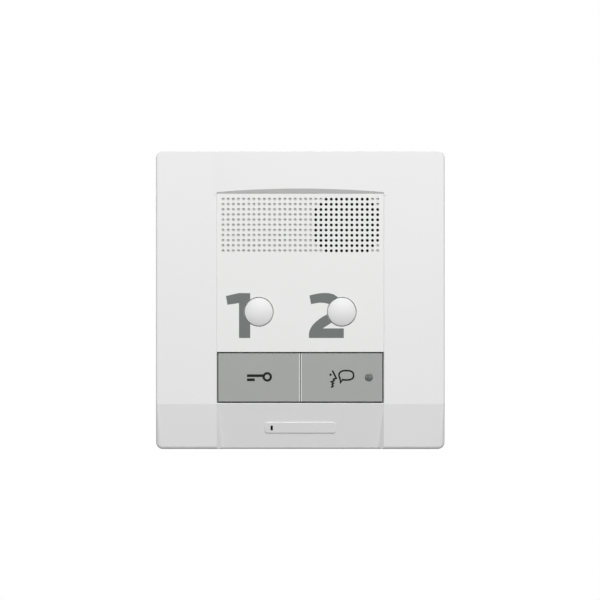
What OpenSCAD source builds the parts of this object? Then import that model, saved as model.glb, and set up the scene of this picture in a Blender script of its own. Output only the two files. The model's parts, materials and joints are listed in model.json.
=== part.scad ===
// Intercom room station for a wall: a moulded cover with a dotted panel, two domed call buttons
// and two flat keys, over a rear housing that hangs on a steel bracket.
// Each piece is drawn with x to the right, y up and z out from the wall, then stood upright.

/* [Body] */
// Width of the body
body_w = 126; // [122:1:140]
// Height of the body
body_h = 130; // [126:1:144]
// Distance from the wall to the flat of the front face
face_z = 24; // [23:0.5:28]
// Corner radius seen from the front
corner_r = 3; // [2:0.5:5]
// Rounding of the side edges of the front
edge_r = 0.9; // [0.8:0.1:1.6]
// Rounding of the top edge of the front
top_edge_r = 0.3; // [0.3:0.1:0.8]
// Rounding of the bottom edge of the front
low_edge_r = 1.6; // [1.2:0.1:1.8]
// Wall thickness of the cover and the rear housing
wall_t = 2; // [1.6:0.1:2.4]
// Distance from the wall to the joint between the cover and the rear housing
parting_z = 8; // [7.6:0.2:9.6]

/* [Front] */
// Width of the middle window
window_w = 72.8; // [70:0.4:78]
// Height of the brow above the window
brow_h = 18.3; // [16:0.1:22]
// How far the brow swells out at its middle
brow_bulge = 1.7; // [0.8:0.1:2]
// Height of the chin below the crease
chin_h = 19.8; // [19:0.2:23]
// Depth that the lower wings lose at the bottom edge
wing_drop = 3.3; // [2.6:0.1:4]
// Depth that the chin loses below the lower wings
chin_drop = 2.7; // [2.4:0.1:3]
// Width of the chin's flared sides at the bottom edge
flare_w = 3.2; // [3:0.1:3.8]
// Slope of the flared sides where they meet the lower wings
flare_a = 48; // [46:1:54]
// Width of the blank badge on the chin
badge_w = 31; // [26:1:40]
// Height of the blank badge on the chin
badge_h = 4.8; // [4.4:0.2:8]

/* [Panel] */
// Thickness of the panel behind its face
panel_t = 2; // [1.6:0.1:2.4]
// Depth of the panel's face below the front face
panel_recess = 0.3; // [0.1:0.1:0.5]
// Gap between the panel and the window
panel_gap = 0.15; // [0.1:0.05:0.3]
// Number of dots in a row
grille_cols = 31; // [25:2:31]
// Number of rows of dots
grille_rows = 11; // [9:2:11]
// Distance between dots
grille_pitch = 2.25; // [2:0.05:2.25]
// Diameter of a dot
dot_d = 1.28; // [0.9:0.02:1.3]
// Depth of a dot that is not open
dimple_d = 1; // [0.5:0.1:1.2]
// Distance from the top of the window to the first row
grille_margin = 2.6; // [2:0.1:4]
// How many dots the loudspeaker sits to the right of the middle
speaker_step = 9; // [7:1:9]
// Radius of the open dots, counted in dots
speaker_reach = 6.85; // [5.5:0.05:6.85]

/* [Buttons and keys] */
// Diameter of a round button
button_d = 12.3; // [11:0.1:13]
// Height of a round button's dome
button_rise = 1.7; // [1:0.1:2.4]
// Clearance around a round button
button_gap = 0.3; // [0.3:0.05:0.5]
// Height of the round buttons above the panel's lower edge
button_up = 17.5; // [15:0.1:20]
// Distance between the two round buttons
button_spacing = 36.2; // [32:0.2:40]
// Height of a rectangular key
key_h = 21.6; // [19:0.2:23]
// Gap around a rectangular key
key_gap = 0.35; // [0.35:0.05:0.6]
// Thickness of the top of a rectangular key
key_t = 2; // [1.6:0.1:2.4]
// Travel of the buttons and keys
travel = 1.2; // [0.8:0.1:1.4]
// Diameter of the stems that press the rubber domes
stem_d = 5; // [4:0.2:6]
// Distance of the light window from the middle of its key
lens_x = 11.8; // [9:0.2:14]
// Diameter of the light window
lens_d = 3.4; // [2.6:0.2:4]

/* [Inside] */
// Distance from the wall to the outer face of the back wall
recess_z = 5; // [4.6:0.2:5.4]
// Space between the back wall and the circuit board
board_gap = 3.5; // [3.2:0.1:4]
// Thickness of the circuit board
board_t = 1.6; // [1.2:0.2:2]
// Width of the circuit board
board_w = 96; // [94:1:98]
// Height of the circuit board
board_h = 70; // [68:1:72]
// Height of the rubber domes above the circuit board
dome_h = 3.6; // [3.4:0.1:4]
// Diameter of the loudspeaker
speaker_d = 35.8; // [34:0.2:36]

/* [Wall bracket] */
// Width of the bracket
bracket_w = 88; // [84:1:96]
// Height of the bracket
bracket_h = 100; // [98:1:106]
// Thickness of the bracket's sheet
bracket_t = 1.5; // [1.2:0.1:2]
// Side of the square cable opening
cable_w = 44; // [36:1:46]
// Distance between the holes for a round wall box
box_spacing = 60; // [58:0.5:62]
// Distance between the holes for an upright wall box
gang_spacing = 83.5; // [82:0.5:85]
// Length of a fixing slot
slot_l = 7; // [6:0.5:8]
// Width of a fixing slot
slot_w = 4.2; // [3.6:0.2:5]

/* [Hidden] */
$fn = 64;
half_w = body_w / 2;
half_h = body_h / 2;
crease_y = -half_h + chin_h;
window_half = window_w / 2;
window_top = half_h - brow_h;
brow_half = window_half + 2.6;
brow_r = (brow_half * brow_half + brow_bulge * brow_bulge) / (2 * brow_bulge);
sill = 0.35;
window_low = crease_y + sill;
inner_z = face_z - wall_t;
panel_z = face_z - panel_recess;
panel_back = panel_z - panel_t;
drop = wing_drop + chin_drop;
chin_angle = atan(drop / chin_h);
badge_y = crease_y - 10.35;
badge_t = 0.4;
// Keys
key_face = face_z - 0.1;
key_w = window_half - key_gap * 1.5;
key_x = (key_gap + key_w) / 2;
key_y = window_low + key_gap + key_h / 2;
panel_low = window_low + key_gap * 2 + key_h;
lap = 1;
cap_low = panel_back - 1.6;
lap_top = panel_back - 0.2;
pin_x = 13;
pin_y = 7;
pin_d = 2.4;
slide_gap = 0.2;
// Round buttons
button_x = button_spacing / 2;
button_y = panel_low + button_up;
collar_r = button_d / 2 + 1.25;
tube_r = collar_r + button_gap + 0.1;
// Panel behind the cover
flange_t = 1.6;
flange_z = inner_z - flange_t;
flange_side = 5;
flange_top = 8.5;
rib_w = 1.6;
pillar_x = window_half + 3.3;
pillar_r = 2.4;
pilot_r = 0.85;
pilot_l = 5.4;
// Loudspeaker
speaker_x = speaker_step * grille_pitch;
speaker_y = window_top - grille_margin - (grille_rows - 1) / 2 * grille_pitch;
speaker_r = speaker_d / 2;
cavity_r = speaker_r - 2.3;
seat_in = speaker_r + 0.5;
seat_out = seat_in + 1.2;
gasket_t = 1;
frame_z = flange_z - gasket_t;
frame_t = 0.8;
clamp_r = speaker_r + 1.9;
clamp_boss_r = 2.2;
clamp_head_r = 2.6;
clamp_head_h = 1.2;
clamp_screw_r = 0.75;
clamp_l = 2.4;
rim_w = 2.7;
basket_wall = 0.6;
basket_r = 9.4;
basket_d = 5.4;
vent_r = 6.2;
magnet_r = 9;
magnet_h = 3.8;
magnet_z = -basket_d - frame_t - magnet_h;
groove_in = 4.5;
groove_out = 5.8;
groove_z = magnet_z + 1.4;
coil_in = 4.9;
coil_out = 5.4;
coil_z = groove_z + 0.4;
cone_d = 4;
cone_t = 0.4;
cone_r = speaker_r - 4;
roll_mid = speaker_r - 3.6;
roll_r = 0.9;
roll_edge = 1.4;
dust_r = 7;
dust_t = 0.4;
dust_edge = coil_out - 0.1;
gasket_w = 1.2;
tag_a = 245;
tag_w = 5;
tag_t = 1;
tag_x = speaker_x + (speaker_r - 1) * cos(tag_a);
tag_y = speaker_y + (speaker_r - 1) * sin(tag_a) - 1.5;
tag_z = frame_z - frame_t - 1.6;
wire_r = 0.55;
wire_gap = 0.8;
// Circuit board and what stands on it
back_in = recess_z + wall_t;
board_z = back_in + board_gap;
board_front = board_z + board_t;
board_low = -half_h + 8;
board_top = board_low + board_h;
dome_z = board_front + dome_h;
board_clear = 1;
clamp_low = speaker_y - clamp_r / 2 - clamp_head_r;
pillar_y = min(board_top - 5, clamp_low - pillar_r - board_clear);
leg_y = key_y - 7;
magnet_clear = 3;
socket_x = 6;
socket_y = min(pillar_y - 1, tag_y - 9);
socket_s = 6;
socket_h = 5;
core_x = -board_w / 2 + 9;
core_y = button_y - 3;
core_w = 14;
core_l = 11;
core_low = 1.6;
core_h = 4;
core_slot = 2.8;
coil_w = 9.2;
coil_y = 6;
coil_h = 7.2;
controller_s = 10;
controller_t = 1.4;
controller_x = 20;
amplifier_w = 10;
amplifier_h = 6;
amplifier_t = 1.6;
amplifier_x = -21;
capacitor_r = 3;
capacitor_h = 6.6;
capacitor_x = board_w / 2 - 3.4;
capacitor_pitch = 8;
resistor_w = 2;
resistor_h = 1.2;
resistor_t = 0.5;
resistor_x = 6;
resistor_y = board_low + 8;
resistor_pitch = 4;
mat_t = 0.8;
dome_r = 5.6;
pill_r = 1.8;
pad_t = 1.5;
pill_t = dome_h - pad_t - travel - 0.05;
guide_t = 1.6;
guide_z = cap_low - travel - 0.6 - guide_t;
guide_low = window_low - 3.5;
guide_high = panel_low + 3;
// Microphone
mic_x = -badge_w / 2 + 3;
mic_y = badge_y - 0.25;
mic_top = face_z - drop * (crease_y - mic_y) / chin_h - wall_t - 1.4;
mic_len = 4;
mic_slot = [1, 2.2];
mic_r = 3;
boot_r = 3.9;
// Screws between the halves
case_inset = 10;
case_x = half_w - case_inset;
case_y = half_h - case_inset;
case_boss_r = 3.5;
case_r = 1.2;
case_l = 12;
case_head_r = 2.8;
case_head_h = 2;
// Rear housing
rim_z = 0.4;
rear_inset = 0.6;
lip_gap = 0.2;
lip_t = 1.4;
lip_h = 2.4;
lip_w = body_w - 2 * (wall_t + lip_gap);
lip_y = body_h - 2 * (wall_t + lip_gap);
rear_r = max(corner_r - rear_inset, 1);
bay_r = 1;
rail_y = bracket_h / 2 - 2.5;
rail_w = 3;
post_r = 2.2;
post_off = 7;
post_y = [pillar_y - post_off, leg_y - post_off];
// Hooks of the bracket
hook_x = bracket_w / 2 - 6;
hook_y = [bracket_h * 0.22, -bracket_h * 0.28];
hook_w = 8;
hook_lift = 3.5;
slot_edge = 3;
hook_z = back_in + 0.3;
// Terminal block in the cable opening
pole = 5.1;
block_w = 4 * pole;
block_y = 9 - cable_w / 2;
block_h = 11;
block_z = 2.5;
pole_y = 4;
pole_r = 2;
pole_d = 2;
wire_w = 3;
wire_d = 4;
clamp_bar_r = 1.7;
clamp_bar_h = 1.4;
address_w = 24;
address_h = 4.4;
address_t = 5;
address_y = block_y - 4.8;
pin_pitch = 2.54;
pin_hole = 0.9;
pin_depth = 2.5;
near = 0.05;

// Stand a piece upright: its z turns to face the viewer
module stand() {
  rotate([90, 0, 0]) children();
}

// Rectangle with round corners, about its middle
module round_rect(w, h, r) {
  square([w - 2 * r, h], center = true);
  square([w, h - 2 * r], center = true);
  for (sx = [-1, 1], sy = [-1, 1])
    translate([sx * (w / 2 - r), sy * (h / 2 - r)])
      circle(r);
}

// Slot with round ends, lying along x
module slot_shape(l, w) {
  square([l - w, w], center = true);
  for (sx = [-1, 1])
    translate([sx * (l - w) / 2, 0])
      circle(d = w);
}

// Block between two corners
module block(low, high) {
  translate(low) cube(high - low);
}

// Solid drawn by its outline seen from the side, across a width
module across(w) {
  rotate([90, 0, 90])
    linear_extrude(w, center = true)
      children();
}

// Post with a rounded front edge, for the outer form
module rounded_post(top, r) {
  translate([0, 0, parting_z])
    cylinder(r = corner_r, h = top - r - parting_z, $fn = 48);
  translate([0, 0, top - r])
    rotate_extrude($fn = 48)
      translate([corner_r - r, 0])
        intersection() {
          circle(r, $fn = 32);
          translate([0, -r]) square([r, r * 2]);
        }
}

// Outer form of the cover without its brow and chin
module cover_form() {
  low_z = face_z - wing_drop * (chin_h - low_edge_r) / chin_h;
  hull() {
    for (sx = [-1, 1]) {
      translate([sx * (half_w - corner_r), half_h - corner_r, 0]) rounded_post(face_z, edge_r);
      translate([sx * (half_w - corner_r), -half_h + corner_r, 0]) rounded_post(low_z, low_edge_r);
      translate([sx * (half_w - edge_r), crease_y, face_z - edge_r]) sphere(edge_r, $fn = 32);
    }
    translate([0, half_h - top_edge_r, face_z - top_edge_r])
      rotate([0, 90, 0])
        cylinder(r = top_edge_r, h = body_w - corner_r * 2, center = true, $fn = 16);
  }
}

// Side outline of what lies a distance behind the front face and the chin
module under_front(depth, edge) {
  low_y = -half_h + edge;
  polygon([
    [low_y, parting_z - 2],
    [half_h - edge, parting_z - 2],
    [half_h - edge, face_z - depth],
    [crease_y, face_z - depth],
    [low_y, face_z - depth - drop * (crease_y - low_y) / chin_h]
  ]);
}

// Slice of the wide upright barrel that the brow is part of
module brow_slice(r) {
  steps = 24;
  reach = asin((brow_half + 1) / brow_r);
  rotate([90, 0, 0])
    linear_extrude(0.01)
      polygon(concat(
        [for (i = [0:steps]) let (a = reach * (2 * i / steps - 1)) [r * sin(a), r * cos(a)]],
        [for (sx = [1, -1]) [sx * r * sin(reach), r * cos(reach) - 3]]
      ));
}

// Swelling of the brow: a strip of the barrel with a rounded top edge
module brow() {
  steps = 3;
  intersection() {
    translate([0, 0, face_z + brow_bulge - brow_r])
      hull() {
        translate([0, window_top - 2, 0]) brow_slice(brow_r);
        for (i = [0:steps]) {
          a = 90 * i / steps;
          translate([0, half_h - top_edge_r * (1 - sin(a)), 0]) brow_slice(brow_r - top_edge_r * (1 - cos(a)));
        }
      }
    block([-brow_half, window_top - 1, face_z - 0.5], [brow_half, half_h, face_z + brow_bulge + 2]);
  }
}

// Window through the front with the sloped face under the brow
module window_cut() {
  across(window_w)
    polygon([
      [window_low, inner_z - 1],
      [window_top, inner_z - 1],
      [window_top, panel_z],
      [window_top + 5, panel_z + 5],
      [window_low, panel_z + 5]
    ]);
}

// Hollow of the chin: a sloped floor whose sides curve up and then rise straight to the lower wings
module chin_cut() {
  steps = 10;
  past = 1.15;
  flare_r = (flare_w * tan(flare_a) - chin_drop) * cos(flare_a) / (1 - cos(flare_a));
  foot = [for (i = [1:steps]) let (a = flare_a * (steps - i) / (steps - 1))
    [-flare_w + flare_r * sin(a), -chin_h, -drop + flare_r * (1 - cos(a))] * past];
  right = concat([[0, -chin_h, -wing_drop] * past], foot);
  low = concat(
    [for (p = right) [window_half + p[0], crease_y + p[1], face_z + p[2]]],
    [for (i = [steps:-1:0]) [-window_half - right[i][0], crease_y + right[i][1], face_z + right[i][2]]]
  );
  n = len(low);
  ends = [
    [-window_half, low[0][1], face_z + 5],
    [window_half, low[0][1], face_z + 5],
    [window_half, crease_y, face_z],
    [-window_half, crease_y, face_z],
    [-window_half, crease_y, face_z + 5],
    [window_half, crease_y, face_z + 5]
  ];
  front = [for (i = [0:n + 1]) i];
  polyhedron(
    points = concat(low, ends),
    faces = concat(
      [front],
      [for (i = [0:steps - 1]) [i + 1, i, n + 2]],
      [[steps + 1, steps, n + 2, n + 3]],
      [for (i = [steps + 1:n - 2]) [i + 1, i, n + 3]],
      [[n, n - 1, n + 3, n + 4]],
      [[0, n + 1, n + 5, n + 2]],
      [[n + 1, n, n + 4, n + 5]],
      [[n + 2, n + 5, n + 4, n + 3]]
    )
  );
}

// Where the screws between the halves stand
module at_case_screws() {
  for (sx = [-1, 1], sy = [-1, 1])
    translate([sx * case_x, sy * case_y, 0])
      children();
}

module front_cover() {
  color([0.86, 0.86, 0.85])
    stand()
      difference() {
        union() {
          difference() {
            union() {
              cover_form();
              brow();
            }
            chin_cut();
            across(body_w - 2 * wall_t) under_front(wall_t, wall_t);
            window_cut();
          }
          translate([0, crease_y, face_z])
            rotate([chin_angle, 0, 0])
              translate([0, (badge_y - crease_y) / cos(chin_angle), -0.5])
                linear_extrude(badge_t + 0.5)
                  round_rect(badge_w, badge_h, 1.2);
          intersection() {
            union() {
              at_case_screws()
                translate([0, 0, back_in])
                  cylinder(r = case_boss_r, h = face_z - back_in);
              translate([mic_x, mic_y, mic_top - mic_len])
                cylinder(r = boot_r + 1.5, h = face_z - mic_top);
            }
            across(body_w - wall_t) under_front(wall_t / 2, wall_t / 2);
          }
        }
        at_case_screws()
          translate([0, 0, back_in - 1])
            cylinder(r = case_r + near, h = case_l - wall_t + 1.5);
        translate([mic_x, mic_y, mic_top - mic_len - 1])
          cylinder(r = boot_r + 0.2, h = mic_len + 1);
        translate([mic_x, mic_y, mic_top - 1])
          linear_extrude(face_z - mic_top + 1)
            square(mic_slot, center = true);
      }
}

// Dots of the panel, either the open ones or the blind ones
module grille_dots(open) {
  for (i = [0:grille_cols - 1], j = [0:grille_rows - 1]) {
    col = i - (grille_cols - 1) / 2;
    row = j - (grille_rows - 1) / 2;
    if ((norm([col - speaker_step, row]) <= speaker_reach) == open)
      translate([col * grille_pitch, speaker_y - row * grille_pitch])
        circle(d = dot_d, $fn = 24);
  }
}

// Where the screws that clamp the loudspeaker stand
module at_clamps() {
  for (a = [90, 210, 330])
    translate([speaker_x + clamp_r * cos(a), speaker_y + clamp_r * sin(a), frame_z - frame_t])
      children();
}

module grille_panel() {
  panel_half = window_half - panel_gap;
  panel_top = window_top - panel_gap;
  wide = window_half + flange_side;
  high = window_top + flange_top;
  start = panel_low + 2;
  color([0.88, 0.88, 0.87])
    stand()
      difference() {
        union() {
          block([-panel_half, panel_low, panel_back], [panel_half, panel_top, panel_z]);
          difference() {
            block([-wide, start, flange_z], [wide, high, inner_z]);
            block([-panel_half + rib_w, start - 1, flange_z - 1],
              [panel_half - rib_w, panel_top - rib_w, inner_z + 1]);
          }
          translate([speaker_x, speaker_y, flange_z])
            cylinder(r = seat_out, h = panel_back - flange_z + 0.1);
          translate([speaker_x, speaker_y, frame_z - frame_t])
            cylinder(r = seat_out, h = gasket_t + frame_t + 0.2);
          at_clamps() cylinder(r = clamp_boss_r, h = gasket_t + frame_t + 0.2);
          for (sx = [-1, 1]) {
            translate([sx * button_x, button_y, cap_low - travel - 0.5])
              cylinder(r = tube_r + 1.4, h = panel_back - cap_low + travel + 0.6);
            translate([sx * pillar_x, pillar_y, board_front])
              cylinder(r = pillar_r, h = flange_z - board_front + 0.2);
          }
        }
        translate([speaker_x, speaker_y, frame_z - frame_t - 1])
          cylinder(r = seat_in, h = gasket_t + frame_t + 1);
        intersection() {
          translate([speaker_x, speaker_y, flange_z - 1])
            cylinder(r = cavity_r, h = panel_back - flange_z + 1);
          block([-panel_half, panel_low, flange_z - 1],
            [panel_half - rib_w, panel_top - rib_w, panel_back + 1]);
        }
        for (sx = [-1, 1]) {
          translate([sx * button_x, button_y, panel_back - 1])
            cylinder(r = button_d / 2 + button_gap, h = panel_t + 2);
          translate([sx * button_x, button_y, cap_low - travel - 1])
            cylinder(r = tube_r, h = panel_back - cap_low + travel + 1);
          translate([sx * pillar_x, pillar_y, board_front - 1])
            cylinder(r = pilot_r, h = pilot_l + 1);
        }
        at_clamps()
          translate([0, 0, -1])
            cylinder(r = clamp_screw_r + near, h = clamp_l + 1.2);
        translate([0, 0, panel_back - 1]) linear_extrude(panel_t + 2) grille_dots(true);
        translate([0, 0, panel_z - dimple_d]) linear_extrude(dimple_d + 1) grille_dots(false);
      }
}

// Where the guide pins of a key stand, about the middle of the key
module at_pins() {
  for (s = [-1, 1])
    translate([s * pin_x, -s * pin_y, 0])
      children();
}

module key_guide() {
  wide = window_half + flange_side;
  color([0.2, 0.21, 0.22])
    stand()
      difference() {
        union() {
          block([-wide, guide_low, guide_z], [wide, guide_high, guide_z + guide_t]);
          for (sx = [-1, 1]) {
            translate([sx * (wide - 1), key_y, (guide_z + inner_z) / 2])
              cube([2, key_h - 4, inner_z - guide_z], center = true);
            translate([sx * pillar_x, leg_y, board_front])
              cylinder(r = pillar_r, h = guide_z - board_front + 0.2);
          }
        }
        for (sx = [-1, 1]) {
          translate([sx * key_x, key_y, guide_z - 1]) {
            cylinder(d = stem_d + 2 * slide_gap + 0.4, h = guide_t + 2);
            at_pins() cylinder(d = pin_d + 2 * slide_gap + 0.4, h = guide_t + 2);
          }
          translate([sx * pillar_x, leg_y, board_front - 1])
            cylinder(r = pilot_r, h = min(pilot_l, guide_z - board_front + 1) + 1);
        }
        translate([key_x + lens_x, key_y, guide_z - 1])
          cylinder(d = lens_d + 2.4, h = guide_t + 2);
      }
}

module rear_housing() {
  color([0.74, 0.75, 0.74])
    stand()
      difference() {
        union() {
          translate([0, 0, rim_z])
            linear_extrude(parting_z - rim_z)
              round_rect(body_w - 2 * rear_inset, body_h - 2 * rear_inset, rear_r);
          translate([0, 0, parting_z - 0.5])
            linear_extrude(lip_h + 0.5)
              round_rect(lip_w, lip_y, bay_r + 0.5);
        }
        difference() {
          translate([0, 0, rim_z - 1])
            linear_extrude(recess_z - rim_z + 1)
              round_rect(lip_w - 2 * lip_t, lip_y - 2 * lip_t, bay_r);
          for (sy = [-1, 1])
            block([-25, sy * rail_y - rail_w / 2, bracket_t], [25, sy * rail_y + rail_w / 2, recess_z + 1]);
        }
        difference() {
          translate([0, 0, back_in])
            linear_extrude(parting_z + lip_h)
              round_rect(lip_w - 2 * lip_t, lip_y - 2 * lip_t, bay_r);
          for (sx = [-1, 1], y = post_y)
            translate([sx * pillar_x, y, back_in - 1])
              cylinder(r = post_r, h = board_gap + 1);
        }
        translate([0, 0, recess_z - 1])
          linear_extrude(wall_t + 2)
            round_rect(cable_w, cable_w, 3);
        at_case_screws()
          translate([0, 0, recess_z - 1])
            cylinder(r = case_r + 0.4, h = wall_t + 2);
        for (sx = [-1, 1], y = hook_y)
          block([sx * hook_x - hook_w / 2 - 0.5, y - bracket_t - 5, recess_z - 1],
            [sx * hook_x + hook_w / 2 + 0.5, y + 0.2, back_in + 1]);
      }
}

module wall_bracket() {
  bend = hook_z + bracket_t;
  color([0.7, 0.72, 0.74])
    stand() {
      linear_extrude(bracket_t)
        difference() {
          union() {
            round_rect(bracket_w, bracket_h, 4);
            square([slot_w + 2 * slot_edge, gang_spacing + slot_l + 2 * slot_edge], center = true);
          }
          round_rect(cable_w, cable_w, 4);
          for (s = [-1, 1]) {
            translate([s * box_spacing / 2, 0]) slot_shape(slot_l, slot_w);
            translate([0, s * gang_spacing / 2]) rotate(90) slot_shape(slot_l, slot_w);
          }
          for (sx = [-1, 1], y = hook_y)
            translate([sx * hook_x - hook_w / 2 - 0.2, y - bracket_t - bend])
              square([hook_w + 0.4, bend]);
        }
      for (sx = [-1, 1], y = hook_y) {
        block([sx * hook_x - hook_w / 2, y - bracket_t, 0], [sx * hook_x + hook_w / 2, y, bend]);
        block([sx * hook_x - hook_w / 2, y - bracket_t, hook_z],
          [sx * hook_x + hook_w / 2, y + hook_lift, bend]);
      }
    }
}

// Pan head screw pointing out from the wall, its head below the seat
module pan_screw(head_r, head_h, r, l) {
  difference() {
    translate([0, 0, -head_h]) cylinder(r = head_r, h = head_h);
    for (a = [0, 90])
      rotate(a)
        translate([0, 0, -head_h])
          cube([head_r * 1.1, head_r * 0.28, head_h], center = true);
  }
  cylinder(r = r, h = l);
}

module case_screws() {
  color([0.62, 0.63, 0.65])
    stand()
      at_case_screws()
        translate([0, 0, recess_z])
          pan_screw(case_head_r, case_head_h, case_r, case_l);
}

// Where the screws of the circuit board stand
module at_board_screws() {
  for (sx = [-1, 1], y = [pillar_y, leg_y])
    translate([sx * pillar_x, y, 0])
      children();
}

module board_screws() {
  color([0.62, 0.63, 0.65])
    stand()
      at_board_screws()
        translate([0, 0, board_z])
          pan_screw(2, 1.5, pilot_r - near, board_t + min(pilot_l, guide_z - board_front + 1) - 0.5);
}

module circuit_board() {
  color([0.1, 0.36, 0.2])
    stand()
      translate([0, 0, board_z])
        linear_extrude(board_t)
          difference() {
            translate([0, board_low + board_h / 2]) square([board_w, board_h], center = true);
            at_board_screws() circle(r = pilot_r + 0.35);
            at_case_screws() circle(case_boss_r + board_clear);
            translate([speaker_x, speaker_y]) circle(magnet_r + magnet_clear);
          }
}

// Where the buttons and keys press
function press_at(k) = k < 2 ? [(k * 2 - 1) * button_x, button_y] : [(k * 2 - 5) * key_x, key_y];

module contact_pads() {
  color([0.82, 0.66, 0.3])
    stand()
      for (k = [0:3], s = [-1, 1])
        translate([press_at(k)[0] + s * 1, press_at(k)[1], board_front + 0.015])
          cube([1.6, 3.4, 0.03], center = true);
}

module keypad_mat() {
  color([0.75, 0.76, 0.74])
    stand()
      translate([0, 0, board_front])
        linear_extrude(mat_t)
          difference() {
            translate([0, (button_y + key_y) / 2])
              square([button_spacing + 2 * dome_r + 4, button_y - key_y + 2 * dome_r + 4], center = true);
            for (k = [0:3])
              translate(press_at(k)) circle(dome_r + 0.3);
            translate([socket_x, socket_y]) square(socket_s + 2 * board_clear, center = true);
          }
}

// Rubber dome over its contact pads
module rubber_dome(k) {
  color([0.8, 0.8, 0.78])
    stand()
      translate([press_at(k)[0], press_at(k)[1], board_front])
        rotate_extrude()
          polygon([
            [dome_r - 1.6, 0],
            [dome_r, 0],
            [dome_r, mat_t],
            [stem_d / 2 + 0.4, dome_h - pad_t + 0.3],
            [stem_d / 2 + 0.4, dome_h],
            [0, dome_h],
            [0, dome_h - pad_t],
            [stem_d / 2 - 0.3, dome_h - pad_t],
            [dome_r - 1.6, mat_t - 0.1]
          ]);
}

module contact_pill(k) {
  color([0.1, 0.1, 0.1])
    stand()
      translate([press_at(k)[0], press_at(k)[1], dome_z - pad_t - pill_t])
        cylinder(r = pill_r, h = pill_t);
}

module round_button(k) {
  r = button_d / 2;
  sphere_r = (r * r + button_rise * button_rise) / (2 * button_rise);
  color([0.9, 0.9, 0.89])
    stand()
      translate([press_at(k)[0], press_at(k)[1], 0]) {
        intersection() {
          translate([0, 0, lap_top - 0.1])
            cylinder(r = r, h = face_z + button_rise - lap_top + 1);
          translate([0, 0, face_z + button_rise - sphere_r]) sphere(sphere_r, $fn = 128);
        }
        translate([0, 0, cap_low]) cylinder(r = collar_r, h = lap_top - cap_low);
        translate([0, 0, dome_z]) cylinder(d = stem_d, h = cap_low - dome_z + 0.1);
      }
}

// Rectangular key: a cap with a lap under the window's edges, a stem and two guide pins
module flat_key(side) {
  under = key_face - key_t;
  outer = key_w / 2 + lap + key_gap;
  x_low = side > 0 ? -key_w / 2 : -outer;
  x_high = side > 0 ? outer : key_w / 2;
  stand()
    translate([side * key_x, key_y, 0])
      difference() {
        union() {
          difference() {
            union() {
              block([-key_w / 2, -key_h / 2, cap_low], [key_w / 2, key_h / 2, key_face]);
              block([x_low, -key_h / 2 - lap - key_gap, cap_low],
                [x_high, key_h / 2 + lap + key_gap, lap_top]);
            }
            block([-key_w / 2 + 1.4, -key_h / 2 + 1.4, cap_low - 1],
              [key_w / 2 - 1.4, key_h / 2 - 1.4, under]);
          }
          translate([0, 0, dome_z]) cylinder(d = stem_d, h = under - dome_z + 0.2);
          at_pins()
            translate([0, 0, guide_z - travel])
              cylinder(d = pin_d, h = under - guide_z + travel + 0.2);
        }
        if (side > 0)
          translate([lens_x, 0, under - 1])
            cylinder(d = lens_d + 2 * near, h = key_t + 2);
      }
}

module door_key() {
  color([0.36, 0.37, 0.36]) flat_key(-1);
}

module talk_key() {
  color([0.36, 0.37, 0.36]) flat_key(1);
}

module status_lens() {
  under = key_face - key_t;
  color([0.3, 0.31, 0.31])
    stand()
      translate([key_x + lens_x, key_y, 0]) {
        translate([0, 0, under - 3]) cylinder(d = lens_d, h = key_t + 2.9);
        translate([0, 0, under - 1.2]) cylinder(d = lens_d + 1.4, h = 1.2);
      }
}

module status_led() {
  color([0.85, 0.88, 0.85])
    stand()
      translate([key_x + lens_x, key_y, board_front]) {
        cylinder(r = 1.9, h = 0.8);
        cylinder(r = 1.5, h = 2.2);
        translate([0, 0, 2.2]) cylinder(r1 = 1.5, r2 = 0.9, h = 0.8);
      }
}

// Stand a loudspeaker piece in place, its zero at the front of the frame's rim
module at_speaker() {
  stand()
    translate([speaker_x, speaker_y, frame_z])
      children();
}

module speaker_frame() {
  color([0.55, 0.56, 0.58])
    at_speaker()
      rotate_extrude()
        polygon([
          [speaker_r - rim_w, 0],
          [speaker_r, 0],
          [speaker_r, -frame_t],
          [speaker_r - rim_w + basket_wall, -frame_t],
          [basket_r, -basket_d],
          [basket_r, -basket_d - frame_t],
          [vent_r, -basket_d - frame_t],
          [vent_r, -basket_d],
          [basket_r - basket_wall, -basket_d],
          [speaker_r - rim_w, -frame_t]
        ]);
}

module speaker_magnet() {
  color([0.3, 0.3, 0.32])
    at_speaker()
      difference() {
        translate([0, 0, magnet_z]) cylinder(r = magnet_r, h = magnet_h);
        translate([0, 0, groove_z])
          difference() {
            cylinder(r = groove_out, h = magnet_h);
            translate([0, 0, -1]) cylinder(r = groove_in, h = magnet_h + 2);
          }
      }
}

module voice_coil() {
  color([0.72, 0.45, 0.25])
    at_speaker()
      translate([0, 0, coil_z])
        difference() {
          cylinder(r = coil_out, h = -cone_d - coil_z);
          translate([0, 0, -1]) cylinder(r = coil_in, h = -cone_d - coil_z + 2);
        }
}

module speaker_cone() {
  color([0.12, 0.12, 0.12])
    at_speaker()
      rotate_extrude()
        polygon([
          [coil_in, -cone_d],
          [coil_out + cone_t / 2, -cone_d],
          [cone_r - cone_t * 2.25, -cone_t],
          [cone_r, -cone_t],
          [cone_r, 0],
          [cone_r - cone_t * 2.5, 0],
          [coil_out + cone_t / 4, -cone_d + cone_t],
          [coil_in, -cone_d + cone_t]
        ]);
}

module speaker_surround() {
  color([0.1, 0.1, 0.1])
    at_speaker()
      rotate_extrude()
        translate([roll_mid, 0])
          intersection() {
            union() {
              difference() {
                circle(roll_r, $fn = 32);
                circle(roll_r - cone_t, $fn = 32);
              }
              translate([roll_r - cone_t * 0.75, 0]) square([roll_edge, cone_t]);
            }
            translate([-2 * roll_r, 0]) square([5 * roll_r, 2 * roll_r]);
          }
}

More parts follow.
